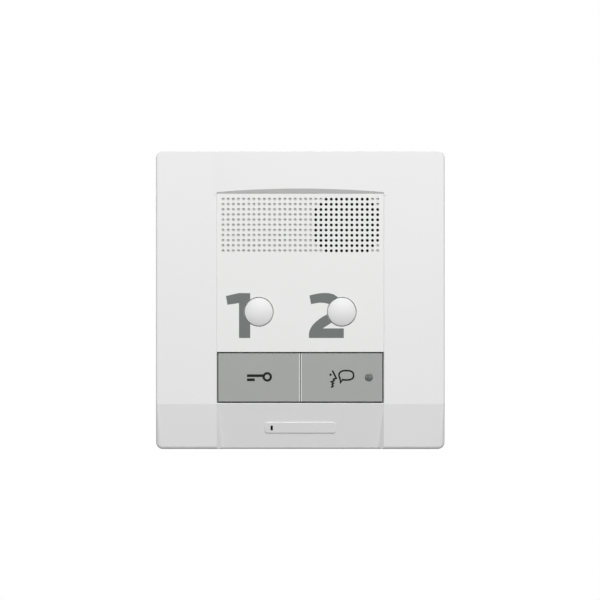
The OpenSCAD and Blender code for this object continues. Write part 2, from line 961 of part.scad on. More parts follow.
module speaker_dust_cap() {
  color([0.14, 0.14, 0.14])
    at_speaker()
      rotate_extrude()
        intersection() {
          translate([0, -cone_d + cone_t - sqrt(dust_r * dust_r - dust_edge * dust_edge)])
            difference() {
              circle(dust_r, $fn = 128);
              circle(dust_r - dust_t, $fn = 128);
            }
          translate([0, -cone_d + cone_t]) square(dust_r);
        }
}

module speaker_gasket() {
  color([0.16, 0.16, 0.16])
    at_speaker()
      difference() {
        cylinder(r = speaker_r, h = gasket_t);
        translate([0, 0, -1]) cylinder(r = speaker_r - gasket_w, h = gasket_t + 2);
      }
}

module speaker_screws() {
  color([0.62, 0.63, 0.65])
    stand()
      at_clamps()
        pan_screw(clamp_head_r, clamp_head_h, clamp_screw_r, clamp_l);
}

// Tag strip on the back of the loudspeaker's rim
module speaker_tag() {
  color([0.55, 0.4, 0.25])
    at_speaker()
      rotate(tag_a)
        block([speaker_r - 1.8, -tag_w / 2, -frame_t - tag_t], [speaker_r - 0.1, tag_w / 2, -frame_t]);
}

// Point on the curve of a wire between four guiding points
function bend_at(p, t) = p[0] * pow(1 - t, 3) + p[1] * 3 * t * pow(1 - t, 2)
  + p[2] * 3 * t * t * (1 - t) + p[3] * pow(t, 3);

// Round wire along a curve whose ends run along y
module bent_wire(p, r) {
  sides = 10;
  rings = 16;
  points = [for (i = [0:rings])
    let (
      t = i / rings,
      c = bend_at(p, t),
      e = min(1, t + 0.01),
      b = max(0, t - 0.01),
      d0 = bend_at(p, e) - bend_at(p, b),
      d = (i == 0 || i == rings) ? [0, -1, 0] : d0 / norm(d0),
      u0 = cross(d, [0, 0, 1]),
      u = u0 / norm(u0),
      v = cross(u, d)
    )
    for (k = [0:sides - 1]) c + r * (u * cos(360 * k / sides) + v * sin(360 * k / sides))];
  faces = concat(
    [[for (k = [0:sides - 1]) sides - 1 - k]],
    [[for (k = [0:sides - 1]) rings * sides + k]],
    [for (i = [0:rings - 1], k = [0:sides - 1])
      let (a = i * sides + k, b = i * sides + (k + 1) % sides)
        [a, b, b + sides]],
    [for (i = [0:rings - 1], k = [0:sides - 1])
      let (a = i * sides + k, b = i * sides + (k + 1) % sides)
        [a, b + sides, a + sides]]
  );
  polyhedron(points = points, faces = faces);
}

module speaker_lead() {
  plug_y = socket_y + socket_s / 2;
  plug_z = board_front + socket_h * 0.6;
  color([0.6, 0.1, 0.1])
    stand()
      for (s = [-1, 1])
        translate([0, 0, s * wire_gap])
          bent_wire([
            [tag_x, tag_y, tag_z],
            [tag_x, tag_y - 3, tag_z],
            [socket_x, plug_y + 3, plug_z],
            [socket_x, plug_y, plug_z]
          ], wire_r);
}

module lead_socket() {
  color([0.9, 0.88, 0.8])
    stand()
      translate([socket_x, socket_y, board_front + socket_h / 2])
        cube([socket_s, socket_s, socket_h], center = true);
}

module microphone_boot() {
  color([0.14, 0.14, 0.14])
    stand()
      translate([mic_x, mic_y, mic_top - mic_len + 0.2])
        difference() {
          cylinder(r = boot_r, h = mic_len - 0.2);
          translate([0, 0, -1]) cylinder(r = mic_r + near, h = 3.9);
          cylinder(r = 1, h = mic_len);
        }
}

module microphone_capsule() {
  color([0.7, 0.71, 0.72])
    stand()
      translate([mic_x, mic_y, mic_top - mic_len + 0.4]) {
        cylinder(r = mic_r, h = 2.6);
        for (s = [-1, 1])
          translate([s * 1.2, 0, board_front - mic_top + mic_len - 0.4])
            cylinder(r = 0.3, h = mic_top - mic_len + 0.5 - board_front);
      }
}

// Where the poles of the terminal block stand
module at_poles() {
  for (i = [-1.5:1:1.5])
    translate([i * pole, 0, 0])
      children();
}

module terminal_block() {
  color([0.25, 0.42, 0.3])
    stand()
      difference() {
        block([-block_w / 2, block_y, block_z], [block_w / 2, block_y + block_h, board_z]);
        at_poles() {
          translate([0, block_y + pole_y, block_z - 1]) cylinder(r = pole_r, h = pole_d + 1);
          block([-wire_w / 2, block_y + block_h - wire_d, board_z - wire_w - 2],
            [wire_w / 2, block_y + block_h + 1, board_z - 2]);
        }
      }
}

module terminal_screws() {
  color([0.75, 0.75, 0.72])
    stand()
      at_poles()
        translate([0, block_y + pole_y, block_z + pole_d - clamp_bar_h])
          difference() {
            cylinder(r = clamp_bar_r, h = clamp_bar_h);
            cube([clamp_bar_r * 2.4, clamp_bar_r * 0.35, clamp_bar_h * 0.7], center = true);
          }
}

module address_socket() {
  color([0.15, 0.15, 0.16])
    stand()
      difference() {
        translate([0, address_y, board_z - address_t / 2])
          cube([address_w, address_h, address_t], center = true);
        for (i = [-3.5:1:3.5], s = [-1, 1])
          translate([i * pin_pitch, address_y + s * address_h / 4, board_z - address_t])
            cube([pin_hole, pin_hole, 2 * pin_depth], center = true);
      }
}

module transformer_core() {
  color([0.2, 0.2, 0.21])
    stand()
      translate([core_x, core_y, board_front])
        difference() {
          block([-core_w / 2, -core_l / 2, core_low], [core_w / 2, core_l / 2, core_low + core_h]);
          for (s = [-1, 1])
            translate([s * core_w / 4, 0, core_low + core_h / 2])
              cube([core_slot, core_l * 0.6, core_h + 2], center = true);
        }
}

module transformer_winding() {
  color([0.7, 0.42, 0.2])
    stand()
      translate([core_x, core_y, board_front])
        difference() {
          block([-coil_w / 2, -coil_y / 2, 0], [coil_w / 2, coil_y / 2, coil_h]);
          block([-coil_w / 4, -coil_y, core_low - slide_gap],
            [coil_w / 4, coil_y, core_low + core_h + slide_gap]);
        }
}

module controller_chip() {
  color([0.12, 0.12, 0.13])
    stand()
      translate([controller_x, leg_y + 1, board_z - controller_t / 2])
        cube([controller_s, controller_s, controller_t], center = true);
}

module amplifier_chip() {
  color([0.12, 0.12, 0.13])
    stand()
      translate([amplifier_x, leg_y + 1, board_z - amplifier_t / 2])
        cube([amplifier_w, amplifier_h, amplifier_t], center = true);
}

module filter_capacitors() {
  color([0.2, 0.22, 0.3])
    stand()
      for (i = [0:1])
        translate([capacitor_x, core_y - i * capacitor_pitch, board_front])
          cylinder(r = capacitor_r, h = capacitor_h);
}

module chip_resistors() {
  color([0.16, 0.16, 0.17])
    stand()
      for (sx = [-1, 1], i = [0:5])
        translate([sx * (resistor_x + i * resistor_pitch), resistor_y, board_front + resistor_t / 2])
          cube([resistor_w, resistor_h, resistor_t], center = true);
}

front_cover();
grille_panel();
key_guide();
rear_housing();
wall_bracket();
case_screws();
board_screws();
circuit_board();
contact_pads();
keypad_mat();
rubber_dome(0);  // rubber_dome_1
rubber_dome(1);  // rubber_dome_2
rubber_dome(2);  // rubber_dome_door
rubber_dome(3);  // rubber_dome_talk
contact_pill(0);  // contact_pill_1
contact_pill(1);  // contact_pill_2
contact_pill(2);  // contact_pill_door
contact_pill(3);  // contact_pill_talk
round_button(0);  // round_button_1
round_button(1);  // round_button_2
door_key();
talk_key();
status_lens();
status_led();
speaker_frame();
speaker_magnet();
voice_coil();
speaker_cone();
speaker_surround();
speaker_dust_cap();
speaker_gasket();
speaker_screws();
speaker_tag();
speaker_lead();
lead_socket();
microphone_boot();
microphone_capsule();
terminal_block();
terminal_screws();
address_socket();
transformer_core();
transformer_winding();
controller_chip();
amplifier_chip();
filter_capacitors();
chip_resistors();
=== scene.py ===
import json
import math

import bmesh
import bpy
from bpy.props import FloatProperty, FloatVectorProperty, PointerProperty
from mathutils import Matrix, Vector
from mathutils.geometry import tessellate_polygon


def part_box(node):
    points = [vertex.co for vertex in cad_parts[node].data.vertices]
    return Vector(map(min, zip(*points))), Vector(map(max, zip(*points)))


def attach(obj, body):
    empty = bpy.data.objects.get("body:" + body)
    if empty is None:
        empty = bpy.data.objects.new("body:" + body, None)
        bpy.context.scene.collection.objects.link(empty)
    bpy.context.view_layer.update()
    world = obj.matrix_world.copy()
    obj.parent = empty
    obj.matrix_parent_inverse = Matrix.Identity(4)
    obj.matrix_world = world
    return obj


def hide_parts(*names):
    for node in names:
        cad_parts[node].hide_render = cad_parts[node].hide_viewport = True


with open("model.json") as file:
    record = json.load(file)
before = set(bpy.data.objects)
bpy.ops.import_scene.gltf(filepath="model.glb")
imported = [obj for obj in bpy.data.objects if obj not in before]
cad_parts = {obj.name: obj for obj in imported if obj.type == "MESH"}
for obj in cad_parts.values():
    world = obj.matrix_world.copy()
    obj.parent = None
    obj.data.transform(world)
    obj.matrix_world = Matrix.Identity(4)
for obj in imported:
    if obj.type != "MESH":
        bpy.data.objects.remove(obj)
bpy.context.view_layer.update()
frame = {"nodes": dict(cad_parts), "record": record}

bl_info = {
    "name": "Intercom room station",
    "version": (1, 0, 0),
    "blender": (4, 5, 0),
    "location": "View3D > Sidebar > Station",
    "description": "Dresses the packed room station with its finishes, prints and stage",
    "category": "Object",
}

# Shapes are written in millimetres, seen from the front: x to the right, z up, out from the wall
MM = 0.001

# Welding of corners in metres, the turn that two faces of one flat stay under, and the turn of a sharp edge
WELD = 1e-6
FLAT_ANGLE = math.radians(0.3)
SHARP_TURN = 32

# Places on the solids
PANEL_FACE = -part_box("grille_panel")[0].y / MM
KEY_FACE = -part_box("door_key")[0].y / MM
COVER_FACE = 24.0
FRONT_OUT = 15.0
WINDOW_HALF = 36.4
WINDOW_TOP = 46.7
CREASE_Z = -45.2
BODY_LOW = -65.0
BADGE_HALF = 16.0
BADGE_TOP = -50.0
BADGE_LOW = -60.0
BADGE_OUT = 19.5
SLOT_HALF = 1.0
HOLE_R = 6.45

# How near a point is to the line or face that it counts as part of
ON_FACE = 0.01
ON_LINE = 0.02
BY_LINE = 0.1
BY_CREASE = 0.5

# How squarely a face has to look to the front
FACING = 0.9

# Least turns of the edges that are rounded, in degrees
WINDOW_TURN = 30
FOOT_TURN = 40
BADGE_TURN = 50
CORNER_TURN = 60

# The crease over the lower wings stays crisp: the range of its turn in degrees and its least length
CREASE_TURN = (5, 20)
CREASE_LENGTH = 5.0

# Cover: rounding of the badge, and the least area and the border of the slopes that get an even shade
BADGE_EDGE = 0.12
SLOPE_AREA = 20
SLOPE_BORDER = 0.12

# Panel: the ledge round it, and how deep the bottoms of the blind dots lie, which get a painted shade
LEDGE_FOOT = 22.2
LEDGE_DROP = 0.12
TOP_LEDGE_DROP = 0.5
DOT_SHALLOWEST = 0.05
DOT_DEEPEST = 1.2

# Keys: the strip next to the other key, the chamfer there that gets a painted highlight, and the free ring
# round the light window
INNER_EDGE = 0.5
RIM_DROP = 0.15
RIM_DEPTH = 1.0
LENS_CLEAR = 3.0

# Prints: their gap to the button holes, the width of a pen line and how far its corners may reach
PRINT_GAP = 0.03
PEN = 0.75
MITRE_LEAST = 0.5
HALVINGS = 40

# Felt on the microphone
FELT_R = 0.9
FELT_T = 0.4

# Soft light: brightest from the front and a little above
GLOW_AIM = (0.05, -1.0, 0.4)
GLOW_FROM = -0.5
GLOW_AROUND = 0.1
GLOW_FRONT = 0.53
KEY_LAMP = (0.07, -0.92, 0.6)
KEY_LAMP_SIZE = 0.6
BACK_LAMP = (-0.6, 1.0, 0.6)
BACK_LAMP_SIZE = 0.8

# The floor is plain white away from the object, so that its rim is not seen
FLOOR_HALF = 6.0
FLOOR_NEAR = 0.6
FLOOR_FAR = 1.4
FLOOR_GLOW = 0.7
FLOOR_COLOUR = (0.8, 0.8, 0.8, 1.0)
FLOOR_ROUGHNESS = 0.9

# Background and camera
WHITE = (1.0, 1.0, 1.0, 1.0)
SENSOR_WIDTH = 36.0
NEAREST_SEEN = 0.05
FARTHEST_SEEN = 50.0


def middle(node):
    """Middle of a node's box seen from the front, in millimetres."""
    low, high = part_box(node)
    return (low.x + high.x) / 2 / MM, (low.z + high.z) / 2 / MM


# Mesh tools


def solid_copy(node, join=True):
    """Fresh welded mesh of a node, with its flat faces joined where asked."""
    source = frame["nodes"][node].data
    bm = bmesh.new()
    corners = [bm.verts.new(v.co) for v in source.vertices]
    for face in source.polygons:
        bm.faces.new([corners[i] for i in face.vertices])
    bmesh.ops.remove_doubles(bm, verts=bm.verts, dist=WELD)
    if join:
        bmesh.ops.dissolve_limit(bm, angle_limit=FLAT_ANGLE, verts=bm.verts, edges=bm.edges)
    return bm


def from_front(spot):
    """A spot as x, z and distance from the wall, in millimetres."""
    return spot.x / MM, spot.z / MM, -spot.y / MM


def ends_of(edge):
    """Both ends of an edge as x, z and distance from the wall, in millimetres."""
    return [from_front(v.co) for v in edge.verts]


def turn_of(edge):
    """Angle between the two faces of an edge in degrees, positive where it sticks out."""
    if len(edge.link_faces) != 2:
        return 0.0
    return math.degrees(edge.calc_face_angle_signed(0.0))


def soften(bm, width, pick, steps=2):
    """Rounds the edges that pick chooses, or chamfers them where steps is 1."""
    chosen = [e for e in bm.edges if pick(e)]
    if chosen:
        bmesh.ops.bevel(bm, geom=chosen, offset=width * MM, offset_type="OFFSET", segments=steps,
                        profile=0.5, affect="EDGES", clamp_overlap=False)


def border(bm, width, pick):
    """Lays a narrow border inside each flat that pick chooses, so that its shade stays even."""
    chosen = [f for f in bm.faces if pick(f)]
    while chosen:
        seed = chosen[0].normal.copy()
        flat = [f for f in chosen if f.normal.angle(seed) < FLAT_ANGLE]
        chosen = [f for f in chosen if f not in flat]
        bmesh.ops.inset_region(bm, faces=flat, thickness=width * MM, use_even_offset=False)


def arc(cx, cz, r, start, end, steps):
    """Points on a circle between two angles in degrees."""
    turns = [math.radians(start + (end - start) * i / steps) for i in range(steps + 1)]
    return [(cx + r * math.cos(a), cz + r * math.sin(a)) for a in turns]


def circle(centre, r, count):
    """Points round a whole circle."""
    return arc(centre[0], centre[1], r, 0, 360 - 360 / count, count - 1)


def turned(profile, centre, steps):
    """Solid turned about a line out of the wall. The profile holds radius and distance from the wall."""
    bm = bmesh.new()
    rings = []
    for r, out in profile:
        count = steps if r > 0 else 1
        ring = []
        for i in range(count):
            a = 2 * math.pi * i / count
            ring.append(bm.verts.new(((centre[0] + r * math.cos(a)) * MM, -out * MM,
                                      (centre[1] + r * math.sin(a)) * MM)))
        rings.append(ring)
    for low, high in zip(rings, rings[1:]):
        for i in range(steps):
            j = (i + 1) % steps
            corners = [low[i % len(low)], low[j % len(low)], high[j % len(high)], high[i % len(high)]]
            bm.faces.new(list(dict.fromkeys(corners)))
    return bm


def add_slab(bm, loops, base, thick):
    """Thin closed plate on a face: the outline first, then its holes."""
    low, high = ([[bm.verts.new((x * MM, -out * MM, z * MM)) for x, z in loop] for loop in loops]
                 for out in (base, base + thick))
    all_low = [v for ring in low for v in ring]
    all_high = [v for ring in high for v in ring]
    for a, b, c in tessellate_polygon([[Vector((x, z, 0)) for x, z in loop] for loop in loops]):
        bm.faces.new((all_high[a], all_high[b], all_high[c]))
        bm.faces.new((all_low[c], all_low[b], all_low[a]))
    for ring_low, ring_high in zip(low, high):
        for i in range(len(ring_low)):
            j = (i + 1) % len(ring_low)
            bm.faces.new((ring_low[i], ring_low[j], ring_high[j], ring_high[i]))


def beside(points, gap, closed):
    """A line moved sideways by a gap."""
    line = [Vector(p) for p in points]
    moved = []
    for i, p in enumerate(line):
        before = line[i - 1] if closed or i > 0 else None
        after = line[(i + 1) % len(line)] if closed or i < len(line) - 1 else None
        ways = [(p - before).normalized()] if before is not None else []
        ways += [(after - p).normalized()] if after is not None else []
        sides = [Vector((-w.y, w.x)) for w in ways]
        mean = sum(sides, Vector((0, 0))).normalized()
        q = p + mean * gap / max(MITRE_LEAST, mean.dot(sides[0]))
        moved.append((q.x, q.y))
    return moved


def stroke(points, width, closed=False):
    """Outline of a pen line along some points."""
    left = beside(points, width / 2, closed)
    right = beside(points, -width / 2, closed)
    if closed:
        return [left, right]
    return [left + right[::-1]]


def to_ring(inner, outer, centre, r):
    """Where the line between two points crosses a circle."""
    low, high = 0.0, 1.0
    for _ in range(HALVINGS):
        t = (low + high) / 2
        x = inner[0] + (outer[0] - inner[0]) * t
        z = inner[1] + (outer[1] - inner[1]) * t
        if math.hypot(x - centre[0], z - centre[1]) < r:
            low = t
        else:
            high = t
    return x, z


def place(name, bm, body, finish, nodes=(), more=(), crisp=None):
    """Makes a piece from a mesh, gives it its finishes and its body, and hides the nodes that it stands for.
    """
    bmesh.ops.recalc_face_normals(bm, faces=bm.faces)
    for face in bm.faces:
        face.smooth = True
    for edge in bm.edges:
        edge.smooth = abs(turn_of(edge)) < SHARP_TURN and not (crisp and crisp(edge))
    mesh = bpy.data.meshes.new(name)
    bm.to_mesh(mesh)
    bm.free()
    for item in (finish, *more):
        mesh.materials.append(item)
    piece = bpy.data.objects.new(name, mesh)
    bpy.context.scene.collection.objects.link(piece)
    shading = piece.modifiers.new("Even shading", "WEIGHTED_NORMAL")
    shading.keep_sharp = True
    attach(piece, body)
    if nodes:
        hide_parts(*nodes)


# Finishes


def node_of(tree, kind, inputs=None, **settings):
    """A new node with its settings and the values of its inputs."""
    made = tree.nodes.new(kind)
    for key, value in settings.items():
        setattr(made, key, value)
    for key, value in (inputs or {}).items():
        made.inputs[key].default_value = value
    return made


def shared_effect(name, values, results):
    """A new shared effect that takes a colour and some values and hands out a colour and some results."""
    group = bpy.data.node_groups.new(name, "ShaderNodeTree")
    sockets = group.interface
    sockets.new_socket(name="Colour", in_out="INPUT", socket_type="NodeSocketColor")
    for label, value in values.items():
        sockets.new_socket(name=label, in_out="INPUT", socket_type="NodeSocketFloat").default_value = value
    sockets.new_socket(name="Colour", in_out="OUTPUT", socket_type="NodeSocketColor")
    for label in results:
        sockets.new_socket(name=label, in_out="OUTPUT", socket_type="NodeSocketFloat")
    given, result, spot = (node_of(group, kind) for kind in
                           ("NodeGroupInput", "NodeGroupOutput", "ShaderNodeTexCoord"))
    return group, given, result, spot


def swing(group, source, amount):
    """A factor round 1 that a value from 0 to 1 swings by an amount."""
    centred = node_of(group, "ShaderNodeMath", {1: 0.5}, operation="SUBTRACT")
    swung = node_of(group, "ShaderNodeMath", {2: 1.0}, operation="MULTIPLY_ADD")
    group.links.new(source, centred.inputs[0])
    group.links.new(centred.outputs[0], swung.inputs[0])
    group.links.new(amount, swung.inputs[1])
    return swung.outputs[0]


def scale_colour(group, given, result, factor):
    """Hands out the given colour times a factor."""
    tone = node_of(group, "ShaderNodeVectorMath", operation="SCALE")
    group.links.new(given.outputs["Colour"], tone.inputs[0])
    group.links.new(factor, tone.inputs["Scale"])
    group.links.new(tone.outputs[0], result.inputs["Colour"])


def vary_gloss(group, given, result, source, low, high):
    """Hands out a roughness between the two given ones, as a value runs from low to high."""
    gloss = node_of(group, "ShaderNodeMapRange", {"From Min": low, "From Max": high})
    group.links.new(source, gloss.inputs["Value"])
    group.links.new(given.outputs["Gloss low"], gloss.inputs["To Min"])
    group.links.new(given.outputs["Gloss high"], gloss.inputs["To Max"])
    group.links.new(gloss.outputs["Result"], result.inputs["Roughness"])


def moulded_grain():
    """Fine grain of a moulded or cast skin, with a slow drift of its tone and gloss."""
    name = "Moulded grain"
    if name in bpy.data.node_groups:
        return bpy.data.node_groups[name]
    values = {"Grain scale": 4000.0, "Drift scale": 30.0, "Drift": 0.03, "Gloss low": 0.4, "Gloss high": 0.5}
    group, given, result, spot = shared_effect(name, values, ("Roughness", "Height"))
    link = group.links.new
    grain = node_of(group, "ShaderNodeTexNoise", {"Detail": 3.0, "Roughness": 0.6})
    drift = node_of(group, "ShaderNodeTexNoise", {"Detail": 2.0})
    for noise, scale in ((grain, "Grain scale"), (drift, "Drift scale")):
        link(spot.outputs["Object"], noise.inputs["Vector"])
        link(given.outputs[scale], noise.inputs["Scale"])
    scale_colour(group, given, result, swing(group, drift.outputs["Fac"], given.outputs["Drift"]))
    vary_gloss(group, given, result, drift.outputs["Fac"], 0.25, 0.75)
    link(grain.outputs["Fac"], result.inputs["Height"])
    return group


def plated_sheet():
    """Crystal patches and rolling lines of plated sheet steel."""
    name = "Plated sheet"
    if name in bpy.data.node_groups:
        return bpy.data.node_groups[name]
    values = {"Patch scale": 250.0, "Contrast": 0.12, "Gloss low": 0.28, "Gloss high": 0.45}
    group, given, result, spot = shared_effect(name, values, ("Roughness", "Height"))
    link = group.links.new
    cells = node_of(group, "ShaderNodeTexVoronoi", feature="F1")
    link(spot.outputs["Object"], cells.inputs["Vector"])
    link(given.outputs["Patch scale"], cells.inputs["Scale"])
    parts = node_of(group, "ShaderNodeSeparateColor")
    link(cells.outputs["Color"], parts.inputs[0])
    scale_colour(group, given, result, swing(group, parts.outputs[0], given.outputs["Contrast"]))
    vary_gloss(group, given, result, parts.outputs[1], 0.0, 1.0)
    stretch = node_of(group, "ShaderNodeMapping", {"Scale": (300.0, 300.0, 6000.0)})
    link(spot.outputs["Object"], stretch.inputs["Vector"])
    lines = node_of(group, "ShaderNodeTexNoise", {"Scale": 1.0})
    link(stretch.outputs[0], lines.inputs["Vector"])
    link(lines.outputs["Fac"], result.inputs["Height"])
    return group


def wound_wire():
    """Turns of fine wire side by side, with painted shade in the grooves between them and a painted highlight
    on their crowns.
    """
    name = "Wound wire"
    if name in bpy.data.node_groups:
        return bpy.data.node_groups[name]
    group, given, result, spot = shared_effect(name, {"Turn scale": 600.0}, ("Height",))
    link = group.links.new
    bands = node_of(group, "ShaderNodeTexWave", {"Distortion": 0.4}, wave_type="BANDS", bands_direction="Z",
                    wave_profile="SIN")
    link(spot.outputs["Object"], bands.inputs["Vector"])
    link(given.outputs["Turn scale"], bands.inputs["Scale"])
    # Painted shade and painted highlight: the colour darkens between the turns and lightens a little on them
    shade = node_of(group, "ShaderNodeMapRange", {"To Min": 0.55, "To Max": 1.1})
    link(bands.outputs["Fac"], shade.inputs["Value"])
    scale_colour(group, given, result, shade.outputs["Result"])
    link(bands.outputs["Fac"], result.inputs["Height"])
    return group


def finish_base(name, inputs=None):
    """A new material with its shader, ready for the nodes that feed it."""
    finish = bpy.data.materials.new(name)
    finish.use_nodes = True
    tree = finish.node_tree
    tree.nodes.clear()
    shader = node_of(tree, "ShaderNodeBsdfPrincipled", inputs)
    output = node_of(tree, "ShaderNodeOutputMaterial")
    tree.links.new(shader.outputs[0], output.inputs["Surface"])
    return finish, tree, shader


def bump_from(tree, shader, height, depth):
    """Raises the surface by a height that runs from 0 to 1 over a depth in millimetres."""
    bump = node_of(tree, "ShaderNodeBump", {"Strength": 1.0, "Distance": depth * MM})
    tree.links.new(height, bump.inputs["Height"])
    tree.links.new(bump.outputs["Normal"], shader.inputs["Normal"])


def effect_in(tree, group, colour, **values):
    """Places a shared effect in a material with its own values."""
    made = node_of(tree, "ShaderNodeGroup", node_tree=group)
    made.inputs["Colour"].default_value = (*colour, 1.0)
    for key, value in values.items():
        made.inputs[key.replace("_", " ").capitalize()].default_value = value
    return made


def feed(tree, shader, effect):
    """Gives a shader the colour of an effect, and its roughness if it has one."""
    tree.links.new(effect.outputs["Colour"], shader.inputs["Base Color"])
    if "Roughness" in effect.outputs:
        tree.links.new(effect.outputs["Roughness"], shader.inputs["Roughness"])


def grained(name, colour, gloss, grain=0.25, depth=0.012, drift=0.03, patch=35.0, coat=0.0, shine=0.5):
    """Moulded, cast, rubber or painted finish. Gloss is a pair of roughness values, grain in millimetres."""
    finish, tree, shader = finish_base(name, {"Coat Weight": coat, "Specular IOR Level": shine})
    skin = effect_in(tree, moulded_grain(), colour, grain_scale=1.0 / (grain * MM),
                     drift_scale=1.0 / (patch * MM), drift=drift, gloss_low=gloss[0], gloss_high=gloss[1])
    feed(tree, shader, skin)
    bump_from(tree, shader, skin.outputs["Height"], depth)
    return finish


def plated(name, colour, patch=4.0, contrast=0.12, gloss=(0.28, 0.45), depth=0.004):
    """Plated or bare metal. Gloss is a pair of roughness values, patch in millimetres."""
    finish, tree, shader = finish_base(name, {"Metallic": 1.0})
    skin = effect_in(tree, plated_sheet(), colour, patch_scale=1.0 / (patch * MM), contrast=contrast,
                     gloss_low=gloss[0], gloss_high=gloss[1])
    feed(tree, shader, skin)
    bump_from(tree, shader, skin.outputs["Height"], depth)
    return finish


def copper_turns(name, colour):
    """Enamelled copper wire in a winding."""
    turn_scale, depth = 700.0, 0.08
    finish, tree, shader = finish_base(name, {"Metallic": 1.0, "Roughness": 0.35})
    turns = effect_in(tree, wound_wire(), colour, turn_scale=turn_scale)
    feed(tree, shader, turns)
    bump_from(tree, shader, turns.outputs["Height"], depth)
    return finish


def masked_board(name, colour):
    """Green mask over copper tracks."""
    track_tint, depth = (2.2, 1.7, 1.8), 0.03
    finish, tree, shader = finish_base(name)
    link = tree.links.new
    spot = node_of(tree, "ShaderNodeTexCoord")
    upright = node_of(tree, "ShaderNodeMapping", {"Rotation": (math.radians(90), 0.0, 0.0)})
    lines = node_of(tree, "ShaderNodeTexBrick",
                    {"Scale": 120.0, "Mortar Size": 0.05, "Mortar Smooth": 0.3, "Brick Width": 1.3,
                     "Row Height": 0.21}, offset=0.37, squash=0.6, squash_frequency=3)
    link(spot.outputs["Object"], upright.inputs["Vector"])
    link(upright.outputs[0], lines.inputs["Vector"])
    track = tuple(c * t for c, t in zip(colour, track_tint))
    mix = node_of(tree, "ShaderNodeMix", {6: (*colour, 1.0), 7: (*track, 1.0)}, data_type="RGBA")
    link(lines.outputs["Fac"], mix.inputs[0])
    skin = effect_in(tree, moulded_grain(), colour, grain_scale=2500.0, drift_scale=40.0, drift=0.15,
                     gloss_low=0.25, gloss_high=0.35)
    link(mix.outputs[2], skin.inputs["Colour"])
    feed(tree, shader, skin)
    bump_from(tree, shader, lines.outputs["Fac"], depth)
    return finish


def smoked_window(name, colour):
    """Smoked clear plastic with a mottled light chamber behind it."""
    depth = 0.02
    finish, tree, shader = finish_base(name, {"Roughness": 0.25, "Coat Weight": 0.4})
    link = tree.links.new
    spot = node_of(tree, "ShaderNodeTexCoord")
    mottle = node_of(tree, "ShaderNodeTexVoronoi", {"Scale": 900.0}, feature="SMOOTH_F1")
    link(spot.outputs["Object"], mottle.inputs["Vector"])
    shade = node_of(tree, "ShaderNodeMapRange", {"From Max": 0.8, "To Min": 0.35, "To Max": 1.9})
    link(mottle.outputs["Distance"], shade.inputs["Value"])
    tone = node_of(tree, "ShaderNodeVectorMath", {0: colour}, operation="SCALE")
    link(shade.outputs["Result"], tone.inputs["Scale"])
    link(tone.outputs[0], shader.inputs["Base Color"])
    bump_from(tree, shader, mottle.outputs["Distance"], depth)
    return finish


made_finishes = {}


